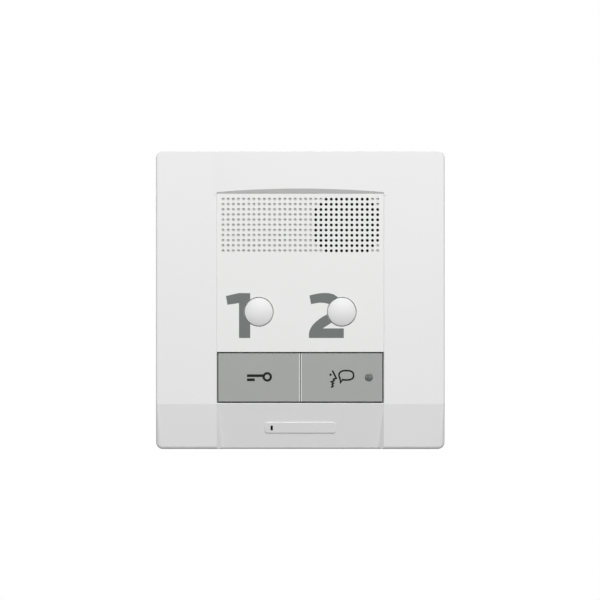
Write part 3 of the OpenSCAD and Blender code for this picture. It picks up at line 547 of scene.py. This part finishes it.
def finish_for(slot):
    """The finish of a material slot or print, made once."""
    if slot in made_finishes:
        return made_finishes[slot]
    hues = bpy.context.scene.station_colours
    skins = {
        "cover_plastic": dict(colour=hues.cover, gloss=(0.42, 0.5), grain=0.22, depth=0.008, drift=0.015),
        "panel_plastic": dict(colour=hues.panel, gloss=(0.45, 0.52), grain=0.18, depth=0.006, drift=0.012),
        # Painted shade: a darker colour for the bottoms of the blind dots
        "dot_shade": dict(colour=hues.dots, gloss=(0.5, 0.6), grain=0.18, depth=0.006, drift=0.012),
        "button_plastic": dict(colour=hues.button, gloss=(0.46, 0.54), grain=0.4, depth=0.004, drift=0.012,
                               shine=0.15),
        "key_plastic": dict(colour=hues.key, gloss=(0.4, 0.48), grain=0.16, depth=0.01, patch=12.0),
        # Painted highlight: the pale colour of the chamfers between the keys
        "key_rim": dict(colour=hues.rim, gloss=(0.35, 0.45), grain=0.16, depth=0.006, drift=0.05, patch=6.0),
        "digit_print": dict(colour=hues.digits, gloss=(0.5, 0.6), grain=0.3, depth=0.003, drift=0.06,
                            patch=4.0, shine=0.3),
        "sign_print": dict(colour=hues.signs, gloss=(0.45, 0.55), grain=0.3, depth=0.003, drift=0.2,
                           patch=2.0, shine=0.15),
        "housing_plastic": dict(colour=hues.housing, gloss=(0.5, 0.6), grain=0.3, depth=0.015, drift=0.04),
        "dark_plastic": dict(colour=(0.025, 0.025, 0.028), gloss=(0.4, 0.55), grain=0.2, drift=0.2,
                             patch=6.0),
        "mat_rubber": dict(colour=(0.55, 0.56, 0.54), gloss=(0.55, 0.7), grain=0.3, drift=0.06, patch=8.0),
        "carbon_rubber": dict(colour=(0.018, 0.018, 0.018), gloss=(0.7, 0.85), grain=0.2, drift=0.3,
                              patch=4.0),
        "led_resin": dict(colour=(0.7, 0.75, 0.7), gloss=(0.1, 0.2), grain=0.6, depth=0.004, coat=0.5),
        "basket_steel": dict(colour=(0.05, 0.05, 0.055), gloss=(0.35, 0.5), drift=0.15, patch=8.0),
        "magnet_iron": dict(colour=(0.09, 0.09, 0.1), gloss=(0.5, 0.7), grain=0.35, depth=0.03, drift=0.3,
                            patch=5.0),
        "cone_plastic": dict(colour=(0.012, 0.012, 0.012), gloss=(0.6, 0.75), grain=0.5, depth=0.03,
                             drift=0.3, patch=3.0),
        "tag_board": dict(colour=(0.28, 0.16, 0.08), gloss=(0.45, 0.6), grain=0.3, drift=0.3, patch=3.0),
        "lead_insulation": dict(colour=(0.4, 0.03, 0.03), gloss=(0.3, 0.4), grain=0.5, drift=0.1, patch=5.0),
        "socket_plastic": dict(colour=(0.72, 0.69, 0.6), gloss=(0.35, 0.45), grain=0.3, drift=0.05,
                               patch=5.0),
        "terminal_plastic": dict(colour=(0.03, 0.17, 0.07), gloss=(0.4, 0.5), grain=0.2, depth=0.01,
                                 drift=0.12, patch=7.0),
    }
    metals = {
        "zinc_steel": dict(colour=(0.66, 0.67, 0.69)),
        "screw_steel": dict(colour=(0.62, 0.62, 0.62), patch=1.2, contrast=0.2, gloss=(0.22, 0.4)),
        "capsule_metal": dict(colour=(0.7, 0.71, 0.72), patch=1.5, contrast=0.08, gloss=(0.3, 0.4)),
        "can_metal": dict(colour=(0.62, 0.63, 0.65), patch=2.0, contrast=0.08, gloss=(0.25, 0.35)),
        "gold_pads": dict(colour=(0.78, 0.58, 0.22), patch=0.8, contrast=0.15, gloss=(0.25, 0.4)),
    }
    others = {
        "copper_wire": (copper_turns, (0.6, 0.27, 0.11)),
        "board_laminate": (masked_board, (0.012, 0.1, 0.035)),
        "lens_plastic": (smoked_window, (0.1, 0.104, 0.104)),
    }
    name = "station " + slot.replace("_", " ")
    if slot in skins:
        finish = grained(name, **skins[slot])
    elif slot in metals:
        finish = plated(name, **metals[slot])
    else:
        maker, colour = others[slot]
        finish = maker(name, colour)
    made_finishes[slot] = finish
    return finish


# What a user would change


def hue(label, what, value):
    """A colour setting."""
    return FloatVectorProperty(name=label, description="Colour of " + what, subtype="COLOR", min=0, max=1,
                               default=value)


def edge_size(label, what, value, low, high):
    """A size setting in millimetres."""
    return FloatProperty(name=label, description=what + ", in millimetres", default=value, min=low, max=high)


class StationColours(bpy.types.PropertyGroup):
    """Colours of the outside pieces and the prints, with the painted shade in the blind dots and the painted
    highlight between the keys
    """
    cover: hue("Cover", "the moulded cover", (0.775, 0.782, 0.775))
    panel: hue("Panel", "the dotted panel", (0.775, 0.78, 0.772))
    # Painted shade: the blind dots' colour darkens their bottoms in place of the shade in them
    dots: hue("Blind dots", "the bottoms of the blind dots", (0.6, 0.605, 0.59))
    button: hue("Call buttons", "the domed call buttons", (0.775, 0.78, 0.775))
    key: hue("Flat keys", "the door and talk keys", (0.345, 0.352, 0.345))
    # Painted highlight: the pale colour of the chamfers between the flat keys
    rim: hue("Key inner edges", "the chamfers between the flat keys", (0.7, 0.71, 0.7))
    housing: hue("Rear housing", "the rear housing", (0.6, 0.61, 0.6))
    digits: hue("Digits", "the printed 1 and 2", (0.15, 0.168, 0.162))
    signs: hue("Key signs", "the signs printed on the keys", (0.008, 0.008, 0.008))


class StationSizes(bpy.types.PropertyGroup):
    """Sizes of the edges and the prints that the scene makes"""
    window_edge: edge_size("Window edge", "Chamfer of the cover's window and sill edges", 0.25, 0.05, 0.3)
    chin_edge: edge_size("Chin edge", "Chamfer of the chin's bottom edge", 0.6, 0.1, 1.2)
    key_edge: edge_size("Key edge", "Rounding of the flat keys", 0.1, 0.05, 0.6)
    key_inner_edge: edge_size("Key inner edge", "Chamfer of a flat key towards the other one", 0.4, 0.05, 0.6)
    key_draft: edge_size("Key draft", "How far a key's sides lean in at its face", 0.26, 0.0, 0.3)
    button_edge: edge_size("Button edge", "Rounding where a dome meets its side", 0.35, 0.05, 0.8)
    back_edge: edge_size("Back edges", "Rounding of the pieces at the back", 0.2, 0.05, 0.4)
    print_rise: edge_size("Print rise", "Thickness of the printed ink", 0.02, 0.01, 0.05)


class StationStage(bpy.types.PropertyGroup):
    """Camera, lamps and floor"""
    lens: FloatProperty(
        name="Lens", description="Focal length of the camera", default=450.0, min=50, max=600, unit="CAMERA")
    distance: FloatProperty(
        name="Camera distance", description="Distance from the camera to the front face", default=3.2724,
        min=0.5, max=5, unit="LENGTH")
    aim_x: FloatProperty(
        name="Aim across", description="Sideways place of the camera", default=-0.00014, unit="LENGTH")
    aim_z: FloatProperty(
        name="Aim up", description="Height of the camera", default=0.0001, unit="LENGTH")
    key_power: FloatProperty(
        name="Key lamp", description="Power of the large soft lamp above the front", default=8.7, min=0,
        unit="POWER")
    back_power: FloatProperty(
        name="Back lamp", description="Power of the soft lamp behind", default=5.0, min=0, unit="POWER")
    floor_z: FloatProperty(
        name="Floor", description="Height of the floor", default=-0.365, unit="LENGTH")


# Pieces


class STATION_OT_cover(bpy.types.Operator):
    """Make the moulded front cover with soft window, chin and badge edges"""
    bl_idname = "station.cover"
    bl_label = "Front cover"

    def execute(self, context):
        sizes = context.scene.station_sizes
        bm = solid_copy("front_cover")
        slot_x = middle("microphone_capsule")[0]

        def window(edge):
            on_rim = all(abs(abs(x) - WINDOW_HALF) < ON_LINE and z > CREASE_Z - BY_LINE
                         and out > COVER_FACE - BY_LINE for x, z, out in ends_of(edge))
            return on_rim and turn_of(edge) > WINDOW_TURN

        def chin_foot(edge):
            on_foot = all(abs(x) < WINDOW_HALF - BY_LINE and abs(z - BODY_LOW) < ON_LINE and out > FRONT_OUT
                          for x, z, out in ends_of(edge))
            return on_foot and turn_of(edge) > FOOT_TURN

        def badge(edge):
            ends = ends_of(edge)
            on_badge = all(abs(x) < BADGE_HALF and BADGE_LOW < z < BADGE_TOP and out > BADGE_OUT
                           for x, z, out in ends)
            at_slot = all(abs(x - slot_x) < SLOT_HALF for x, z, out in ends)
            return on_badge and not at_slot and turn_of(edge) > BADGE_TURN

        def slope(face):
            x, z, out = from_front(face.calc_center_median())
            large = face.calc_area() > SLOPE_AREA * MM * MM
            return large and z < CREASE_Z and out > FRONT_OUT and face.normal.y < -FACING

        def crease(edge):
            ends = ends_of(edge)
            on_crease = all(abs(z - CREASE_Z) < BY_CREASE and out > COVER_FACE - BY_CREASE
                            for x, z, out in ends)
            long = abs(ends[0][0] - ends[1][0]) > CREASE_LENGTH
            return on_crease and long and CREASE_TURN[0] < turn_of(edge) < CREASE_TURN[1]

        soften(bm, sizes.window_edge, window, 1)
        soften(bm, sizes.chin_edge, chin_foot, 1)
        soften(bm, BADGE_EDGE, badge)
        border(bm, SLOPE_BORDER, slope)
        place("cover_shell", bm, "station", finish_for("cover_plastic"), ["front_cover"],
              crisp=crease)
        return {"FINISHED"}


class STATION_OT_panel(bpy.types.Operator):
    """Make the dotted panel with its ledge and a painted shade on the bottoms of its blind dots"""
    bl_idname = "station.panel"
    bl_label = "Dotted panel"

    def execute(self, context):
        bm = solid_copy("grille_panel", False)
        bm.normal_update()
        # Faces at the bottoms of the blind dots get the darker colour: painted shade
        for part in bm.faces:
            drop = PANEL_FACE - from_front(part.calc_center_median())[2]
            if DOT_SHALLOWEST < drop < DOT_DEEPEST and part.normal.y < -FACING:
                part.material_index = 1
        face = [v for v in bm.verts if -v.co.y / MM > PANEL_FACE - ON_FACE]
        side = max(v.co.x for v in face) / MM
        top, foot = max(v.co.z for v in face) / MM, min(v.co.z for v in face) / MM
        lip, lip_top = WINDOW_HALF - ON_FACE, WINDOW_TOP - ON_FACE
        strips = [[(way * side, foot), (way * lip, foot), (way * lip, top), (way * side, top)]
                  for way in (-1, 1)]
        strips.append([(-lip, top), (lip, top), (lip, lip_top), (-lip, lip_top)])
        for strip, drop in zip(strips, (LEDGE_DROP, LEDGE_DROP, TOP_LEDGE_DROP)):
            add_slab(bm, [strip], LEDGE_FOOT, PANEL_FACE - drop - LEDGE_FOOT)
        place("dotted_panel", bm, "station", finish_for("panel_plastic"), ["grille_panel"],
              (finish_for("dot_shade"),))
        return {"FINISHED"}


class STATION_OT_digits(bpy.types.Operator):
    """Print the digits 1 and 2 on the panel, cut off at the button holes"""
    bl_idname = "station.digits"
    bl_label = "Printed digits"

    def execute(self, context):
        rise = context.scene.station_sizes.print_rise
        hole = HOLE_R + PRINT_GAP
        foot_z = -16.47
        stem_left, stem_right, stem_top = -26.75, -21.86, 3.12
        cut_steps = 24
        first = middle("round_button_1")
        half = math.degrees(math.acos((first[0] - stem_right) / hole))
        one = [(-32.46, 1.85), (-26.96, stem_top), (stem_right, stem_top)]
        one += arc(first[0], first[1], hole, 180 - half, 180 + half, cut_steps)
        one += [(stem_right, foot_z), (stem_left, foot_z), (stem_left, -1.2), (-31.81, -1.99)]
        bm = bmesh.new()
        add_slab(bm, [one], PANEL_FACE, rise)
        place("digit_one", bm, "station", finish_for("digit_print"))

        second = middle("round_button_2")
        base_right, base_top = 18.98, -12.28
        arm_top = [(3.97, 2.07), (6.2, 2.64), (8.46, 3.03), (10.43, 3.16), (12.35, 3.12), (14.53, 2.6)]
        arm_under = [(10.43, -1.16), (8.46, -1.07), (6.59, -1.33), (4.67, -1.72)]
        foot_left = [(10.03, -7.05), (8.46, -8.05), (7.07, -9.14), (5.89, -10.23), (5.06, -11.28),
                     (4.41, -12.37), (3.97, -13.46), (3.75, -14.55), (3.75, foot_z), (base_right, foot_z),
                     (base_right, base_top), (9.77, base_top)]
        cut_top = to_ring((16.67, 1.2), arm_top[-1], second, hole)
        cut_under = to_ring((13.83, -2.16), (12.35, -1.59), second, hole)
        cut_left = to_ring((13.61, -5.04), foot_left[0], second, hole)
        cut_right = to_ring((15.58, -8.49), (12.9, -10.35), second, hole)
        bm = bmesh.new()
        add_slab(bm, [arm_top + self.bite(second, hole, cut_top, cut_under) + arm_under], PANEL_FACE, rise)
        add_slab(bm, [foot_left + self.bite(second, hole, cut_right, cut_left)], PANEL_FACE, rise)
        place("digit_two", bm, "station", finish_for("digit_print"))
        return {"FINISHED"}

    def bite(self, centre, r, start, end):
        """The part of a button hole's rim between two points on it."""
        steps = 20
        first, last = (math.degrees(math.atan2(z - centre[1], x - centre[0])) % 360 for x, z in (start, end))
        return arc(centre[0], centre[1], r, first, last, steps)


class STATION_OT_call_buttons(bpy.types.Operator):
    """Turn the two domed call buttons with their collars and stems"""
    bl_idname = "station.call_buttons"
    bl_label = "Call buttons"

    def execute(self, context):
        round_edge = context.scene.station_sizes.button_edge
        side_r = 6.15
        stem_r, stem_edge = 2.5, 0.2
        collar_low, collar_top, collar_edge = 20.1, 21.5, 0.15
        edge_steps, dome_steps, round_steps = 6, 14, 96
        for number in (1, 2):
            node = "round_button_%d" % number
            low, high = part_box(node)
            collar_r = (high.x - low.x) / 2 / MM
            top, foot = -low.y / MM, -high.y / MM
            rise = top - COVER_FACE
            ball_r = (side_r ** 2 + rise ** 2) / (2 * rise)
            ball_out = top - ball_r
            turn_r = side_r - round_edge
            turn_out = ball_out + math.sqrt((ball_r - round_edge) ** 2 - turn_r ** 2)
            meet = math.degrees(math.atan2(turn_out - ball_out, turn_r))
            profile = [(0, foot), (stem_r - stem_edge, foot), (stem_r, foot + stem_edge),
                       (stem_r, collar_low), (collar_r - collar_edge, collar_low),
                       (collar_r, collar_low + collar_edge), (collar_r, collar_top - collar_edge),
                       (collar_r - collar_edge, collar_top), (side_r, collar_top)]
            profile += arc(turn_r, turn_out, round_edge, 0, meet, edge_steps)
            profile += arc(0, ball_out, ball_r, meet, 90, dome_steps)[1:-1]
            profile += [(0, top)]
            bm = turned(profile, middle(node), round_steps)
            place("call_dome_%d" % number, bm, "call_button_%d" % number,
                  finish_for("button_plastic"), [node])
        return {"FINISHED"}


class STATION_OT_flat_keys(bpy.types.Operator):
    """Make the door and talk keys with leaning sides, rounded faces and printed signs"""
    bl_idname = "station.flat_keys"
    bl_label = "Door and talk keys"

    def execute(self, context):
        sizes = context.scene.station_sizes
        lens_x, lens_z = middle("status_lens")

        def face_edge(edge):
            ends = ends_of(edge)
            on_face = all(out > KEY_FACE - ON_FACE for x, z, out in ends)
            off_lens = all(math.hypot(x - lens_x, z - lens_z) > LENS_CLEAR for x, z, out in ends)
            return on_face and off_lens and turn_of(edge) >= CORNER_TURN

        def inner_edge(edge):
            return face_edge(edge) and all(abs(v.co.x) < INNER_EDGE * MM for v in edge.verts)

        for node, body in (("door_key", "door_button"), ("talk_key", "talk_button")):
            bm = solid_copy(node)
            self.draft(bm, sizes.key_draft)
            soften(bm, sizes.key_edge, lambda e: face_edge(e) and not inner_edge(e))
            soften(bm, sizes.key_inner_edge, inner_edge, 1)
            self.shallow_rim(bm)
            # The chamfer between the keys gets a painted highlight and the sides a painted shade
            self.paint_highlight_and_shade(bm, INNER_EDGE + sizes.key_inner_edge)
            place(node + "_cap", bm, body, finish_for("key_plastic"), [node],
                  (finish_for("key_rim"), finish_for("dark_plastic")))

        self.door_sign(sizes.print_rise)
        self.talk_sign(sizes.print_rise)
        return {"FINISHED"}

    def draft(self, bm, lean):
        """Leans the three outer sides of a key in towards its face."""
        face = [v for v in bm.verts if -v.co.y / MM > KEY_FACE - ON_FACE]
        top, low = max(v.co.z for v in face), min(v.co.z for v in face)
        outer = max(abs(v.co.x) for v in face)
        for v in face:
            if v.co.z > top - WELD:
                v.co.z -= lean * MM
            elif v.co.z < low + WELD:
                v.co.z += lean * MM
            if abs(v.co.x) > outer - WELD:
                v.co.x -= math.copysign(lean * MM, v.co.x)

    def shallow_rim(self, bm):
        """Makes the chamfer between the keys shallow."""
        for v in bm.verts:
            x, z, out = from_front(v.co)
            if abs(x) < INNER_EDGE and KEY_FACE - RIM_DEPTH < out < KEY_FACE - ON_FACE:
                v.co.y = (RIM_DROP - KEY_FACE) * MM

    def paint_highlight_and_shade(self, bm, rim_reach):
        """Gives the chamfer between the keys a pale colour, a painted highlight, and the sides a dark one, a
        painted shade in the gaps round the keys.
        """
        least_tilt, most_tilt, side_tilt = 0.1, 0.95, 0.5
        bm.normal_update()
        for face in bm.faces:
            at_rim = all(abs(x) < rim_reach and out > KEY_FACE - RIM_DEPTH
                         for x, z, out in (from_front(v.co) for v in face.verts))
            if at_rim and least_tilt < abs(face.normal.x) < most_tilt:
                face.material_index = 1
            # Painted shade: the sides get the dark colour to deepen the gaps round the keys
            elif abs(face.normal.y) < side_tilt:
                face.material_index = 2

    def door_sign(self, rise):
        """Prints a plain key: a ring, a shaft and a tooth."""
        ring, ring_r, ring_steps = (-14.44, -33.44), 2.09, 40
        hole_r, hole_steps = 1.07, 36
        shaft_top, shaft_low, bit_x = -32.33, -33.51, -23.25
        tooth_top, tooth_low, tooth_x = -34.12, -35.3, -19.85
        enter = math.degrees(math.acos(-math.sqrt(ring_r ** 2 - (shaft_top - ring[1]) ** 2) / ring_r))
        leave = -math.degrees(math.acos(-math.sqrt(ring_r ** 2 - (shaft_low - ring[1]) ** 2) / ring_r))
        outline = [(bit_x, shaft_low), (bit_x, shaft_top)]
        outline += arc(ring[0], ring[1], ring_r, enter, leave, ring_steps)
        tooth = [(bit_x, tooth_low), (bit_x, tooth_top), (tooth_x, tooth_top), (tooth_x, tooth_low)]
        bm = bmesh.new()
        add_slab(bm, [outline, circle(ring, hole_r, hole_steps)], KEY_FACE, rise)
        add_slab(bm, [tooth], KEY_FACE, rise)
        place("door_sign", bm, "door_button", finish_for("sign_print"))

    def talk_sign(self, rise):
        """Prints an eye, a profile line and a speech bubble."""
        eye, eye_r, eye_steps = (13.2, -32.5), 0.52, 24
        profile = [(14.0, -30.7), (14.75, -32.2), (15.7, -34.05), (14.5, -34.45), (14.75, -35.1),
                   (13.6, -35.6), (14.45, -36.25), (13.9, -36.75), (14.3, -37.5), (13.4, -38.0)]
        centre, half, roundness = (20.07, -32.75), (3.17, 2.05), 0.8
        tail_tip, tail_turn, sweep, steps = (17.5, -35.95), -116, 330, 40
        bubble = []
        for i in range(steps + 1):
            a = math.radians(tail_turn + sweep * i / steps)
            c, s = math.cos(a), math.sin(a)
            bubble.append((centre[0] + half[0] * math.copysign(abs(c) ** roundness, c),
                           centre[1] + half[1] * math.copysign(abs(s) ** roundness, s)))
        bubble.append(tail_tip)
        bm = bmesh.new()
        add_slab(bm, [circle(eye, eye_r, eye_steps)], KEY_FACE, rise)
        add_slab(bm, stroke(profile, PEN), KEY_FACE, rise)
        add_slab(bm, stroke(bubble, PEN, True), KEY_FACE, rise)
        place("talk_sign", bm, "talk_button", finish_for("sign_print"))


class STATION_OT_light_window(bpy.types.Operator):
    """Turn the smoked light window in the talk key"""
    bl_idname = "station.light_window"
    bl_label = "Light window"

    def execute(self, context):
        low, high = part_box("status_lens")
        top, foot = -low.y / MM, -high.y / MM
        lip_r, lip_reach = (high.x - low.x) / 2 / MM, 0.7
        pipe_r, foot_edge = lip_r - lip_reach, 0.1
        lip_low, lip_top, round_steps = foot + 1.8, foot + 3.0, 48
        crown = [(pipe_r, top - 0.12), (pipe_r - 0.05, top - 0.05), (pipe_r - 0.2, top),
                 (pipe_r - 0.7, top + 0.03), (0, top + 0.05)]
        profile = [(0, foot), (pipe_r - foot_edge, foot), (pipe_r, foot + foot_edge), (pipe_r, lip_low),
                   (lip_r, lip_low), (lip_r, lip_top), (pipe_r, lip_top)]
        bm = turned(profile + crown, middle("status_lens"), round_steps)
        place("light_window", bm, "talk_button", finish_for("lens_plastic"), ["status_lens"])
        return {"FINISHED"}


class STATION_OT_felt(bpy.types.Operator):
    """Lay a black felt disc on the microphone, behind its slot"""
    bl_idname = "station.felt"
    bl_label = "Microphone felt"

    def execute(self, context):
        base = -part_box("microphone_capsule")[0].y / MM
        face, edge_in, edge_down, round_steps = base + FELT_T, 0.1, 0.05, 40
        profile = [(0, base), (FELT_R, base), (FELT_R, face - edge_down), (FELT_R - edge_in, face), (0, face)]
        bm = turned(profile, middle("microphone_capsule"), round_steps)
        place("microphone_felt", bm, "station", finish_for("carbon_rubber"))
        return {"FINISHED"}


class STATION_OT_back(bpy.types.Operator):
    """Soften the edges of the rear housing, the bracket, the screws and the connectors"""
    bl_idname = "station.back"
    bl_label = "Back pieces"

    def execute(self, context):
        edge = context.scene.station_sizes.back_edge
        node_name_edge_slot = (
            ("rear_housing", "rear_shell", edge, "housing_plastic"),
            ("wall_bracket", "bracket_plate", edge, "zinc_steel"),
            ("case_screws", "case_screw_set", 0.15, "screw_steel"),
            ("terminal_block", "terminal_body", 0.15, "terminal_plastic"),
            ("terminal_screws", "terminal_screw_set", 0.08, "screw_steel"),
            ("address_socket", "address_body", 0.1, "dark_plastic"),
        )
        for node, name, width, slot in node_name_edge_slot:
            bm = solid_copy(node)
            soften(bm, width, lambda e: turn_of(e) > CORNER_TURN)
            place(name, bm, "station", finish_for(slot), [node])
        return {"FINISHED"}


class STATION_OT_inside(bpy.types.Operator):
    """Give each piece inside its finish"""
    bl_idname = "station.inside"
    bl_label = "Pieces inside"

    def execute(self, context):
        slots = {s["node"]: s["material_slot"] for s in frame["record"]["subparts"]}
        for node, piece in frame["nodes"].items():
            if piece.hide_render:
                continue
            piece.data.materials.clear()
            piece.data.materials.append(finish_for(slots[node]))
        return {"FINISHED"}


class STATION_OT_stage(bpy.types.Operator):
    """Set the camera, the white surroundings, the soft lamps and the floor"""
    bl_idname = "station.stage"
    bl_label = "Stage"

    def execute(self, context):
        scene = context.scene
        stage = scene.station_stage
        scene.view_settings.view_transform = "Standard"

        camera = bpy.data.objects.new("camera", bpy.data.cameras.new("camera"))
        scene.collection.objects.link(camera)
        camera.data.lens = stage.lens
        camera.data.sensor_width = SENSOR_WIDTH
        camera.data.clip_start = NEAREST_SEEN
        camera.data.clip_end = FARTHEST_SEEN
        camera.location = (stage.aim_x, -COVER_FACE * MM - stage.distance, stage.aim_z)
        camera.rotation_euler = (math.radians(90), 0, 0)
        scene.camera = camera

        self.surroundings(scene)
        self.lamp(scene, "key_lamp", KEY_LAMP, KEY_LAMP_SIZE, stage.key_power)
        self.lamp(scene, "back_lamp", BACK_LAMP, BACK_LAMP_SIZE, stage.back_power)
        self.floor(scene, stage.floor_z)
        return {"FINISHED"}

    def surroundings(self, scene):
        """White where it is seen or mirrored, and a soft glow from the front as light."""
        world = bpy.data.worlds.new("surroundings")
        scene.world = world
        world.use_nodes = True
        tree = world.node_tree
        tree.nodes.clear()
        link = tree.links.new
        output = node_of(tree, "ShaderNodeOutputWorld")
        seen = node_of(tree, "ShaderNodeBackground", {"Color": WHITE, "Strength": 1.0})
        glow = node_of(tree, "ShaderNodeBackground", {"Color": WHITE})
        spot = node_of(tree, "ShaderNodeTexCoord")
        aim = node_of(tree, "ShaderNodeVectorMath", {1: Vector(GLOW_AIM).normalized()},
                      operation="DOT_PRODUCT")
        fade = node_of(tree, "ShaderNodeMapRange", {"From Min": GLOW_FROM, "From Max": 1.0,
                                                    "To Min": GLOW_AROUND, "To Max": GLOW_FRONT})
        link(spot.outputs["Generated"], aim.inputs[0])
        link(aim.outputs["Value"], fade.inputs["Value"])
        link(fade.outputs["Result"], glow.inputs["Strength"])
        rays = node_of(tree, "ShaderNodeLightPath")
        first = node_of(tree, "ShaderNodeMath", operation="MAXIMUM")
        both = node_of(tree, "ShaderNodeMath", operation="MAXIMUM")
        link(rays.outputs["Is Camera Ray"], first.inputs[0])
        link(rays.outputs["Is Glossy Ray"], first.inputs[1])
        link(first.outputs[0], both.inputs[0])
        link(rays.outputs["Is Transmission Ray"], both.inputs[1])
        mix = node_of(tree, "ShaderNodeMixShader")
        link(both.outputs[0], mix.inputs[0])
        link(glow.outputs[0], mix.inputs[1])
        link(seen.outputs[0], mix.inputs[2])
        link(mix.outputs[0], output.inputs["Surface"])

    def lamp(self, scene, name, spot, size, power):
        """A round soft lamp that points at the object and is not seen itself."""
        light = bpy.data.lights.new(name, "AREA")
        light.shape = "DISK"
        light.size = size
        light.energy = power
        lamp = bpy.data.objects.new(name, light)
        scene.collection.objects.link(lamp)
        lamp.location = spot
        lamp.rotation_euler = (-Vector(spot)).to_track_quat("-Z", "Y").to_euler()
        lamp.visible_camera = False

    def floor(self, scene, height):
        """A pale floor that takes the object's shadow and fades to white away from it."""
        corners = [(x * FLOOR_HALF, y * FLOOR_HALF, height) for x, y in ((-1, -1), (1, -1), (1, 1), (-1, 1))]
        mesh = bpy.data.meshes.new("floor")
        mesh.from_pydata(corners, [], [(0, 1, 2, 3)])
        floor = bpy.data.objects.new("floor", mesh)
        scene.collection.objects.link(floor)
        floor.visible_diffuse = False
        finish, tree, shader = finish_base("station floor",
                                           {"Base Color": FLOOR_COLOUR, "Roughness": FLOOR_ROUGHNESS})
        link = tree.links.new
        output = next(n for n in tree.nodes if n.type == "OUTPUT_MATERIAL")
        rays = node_of(tree, "ShaderNodeLightPath")
        white = node_of(tree, "ShaderNodeEmission")
        spot = node_of(tree, "ShaderNodeTexCoord")
        away = node_of(tree, "ShaderNodeVectorMath", operation="LENGTH")
        fade = node_of(tree, "ShaderNodeMapRange", {"From Min": FLOOR_NEAR, "From Max": FLOOR_FAR,
                                                    "To Min": FLOOR_GLOW, "To Max": 1.0})
        share = node_of(tree, "ShaderNodeMath", operation="MULTIPLY")
        mix = node_of(tree, "ShaderNodeMixShader")
        link(spot.outputs["Object"], away.inputs[0])
        link(away.outputs["Value"], fade.inputs["Value"])
        link(rays.outputs["Is Camera Ray"], share.inputs[0])
        link(fade.outputs["Result"], share.inputs[1])
        link(share.outputs[0], mix.inputs[0])
        link(shader.outputs[0], mix.inputs[1])
        link(white.outputs[0], mix.inputs[2])
        link(mix.outputs[0], output.inputs["Surface"])
        mesh.materials.append(finish)


class STATION_PT_tools(bpy.types.Panel):
    """Lists the pieces of the room station and what can be changed"""
    bl_idname = "STATION_PT_tools"
    bl_label = "Room station"
    bl_space_type = "VIEW_3D"
    bl_region_type = "UI"
    bl_category = "Station"

    def draw(self, context):
        column = self.layout.column()
        for operator in OPERATORS:
            column.operator(operator.bl_idname)
        for group in SETTINGS:
            settings = getattr(context.scene, group)
            for name in settings.__annotations__:
                column.prop(settings, name)


SETTINGS = {"station_colours": StationColours, "station_sizes": StationSizes, "station_stage": StationStage}
OPERATORS = (STATION_OT_stage, STATION_OT_cover, STATION_OT_panel, STATION_OT_digits,
             STATION_OT_call_buttons, STATION_OT_flat_keys, STATION_OT_light_window, STATION_OT_felt,
             STATION_OT_back, STATION_OT_inside)


def register():
    """Adds the settings, the operators and the panel to Blender."""
    for name, group in SETTINGS.items():
        bpy.utils.register_class(group)
        setattr(bpy.types.Scene, name, PointerProperty(type=group))
    for item in (*OPERATORS, STATION_PT_tools):
        bpy.utils.register_class(item)


def unregister():
    """Takes the panel, the operators and the settings out again."""
    for item in (STATION_PT_tools, *reversed(OPERATORS)):
        bpy.utils.unregister_class(item)
    for name, group in SETTINGS.items():
        delattr(bpy.types.Scene, name)
        bpy.utils.unregister_class(group)


def main():
    """Builds the stage and every piece."""
    register()
    bpy.ops.station.stage()
    bpy.ops.station.cover()
    bpy.ops.station.panel()
    bpy.ops.station.digits()
    bpy.ops.station.call_buttons()
    bpy.ops.station.flat_keys()
    bpy.ops.station.light_window()
    bpy.ops.station.felt()
    bpy.ops.station.back()
    bpy.ops.station.inside()


if __name__ == "__main__":
    main()
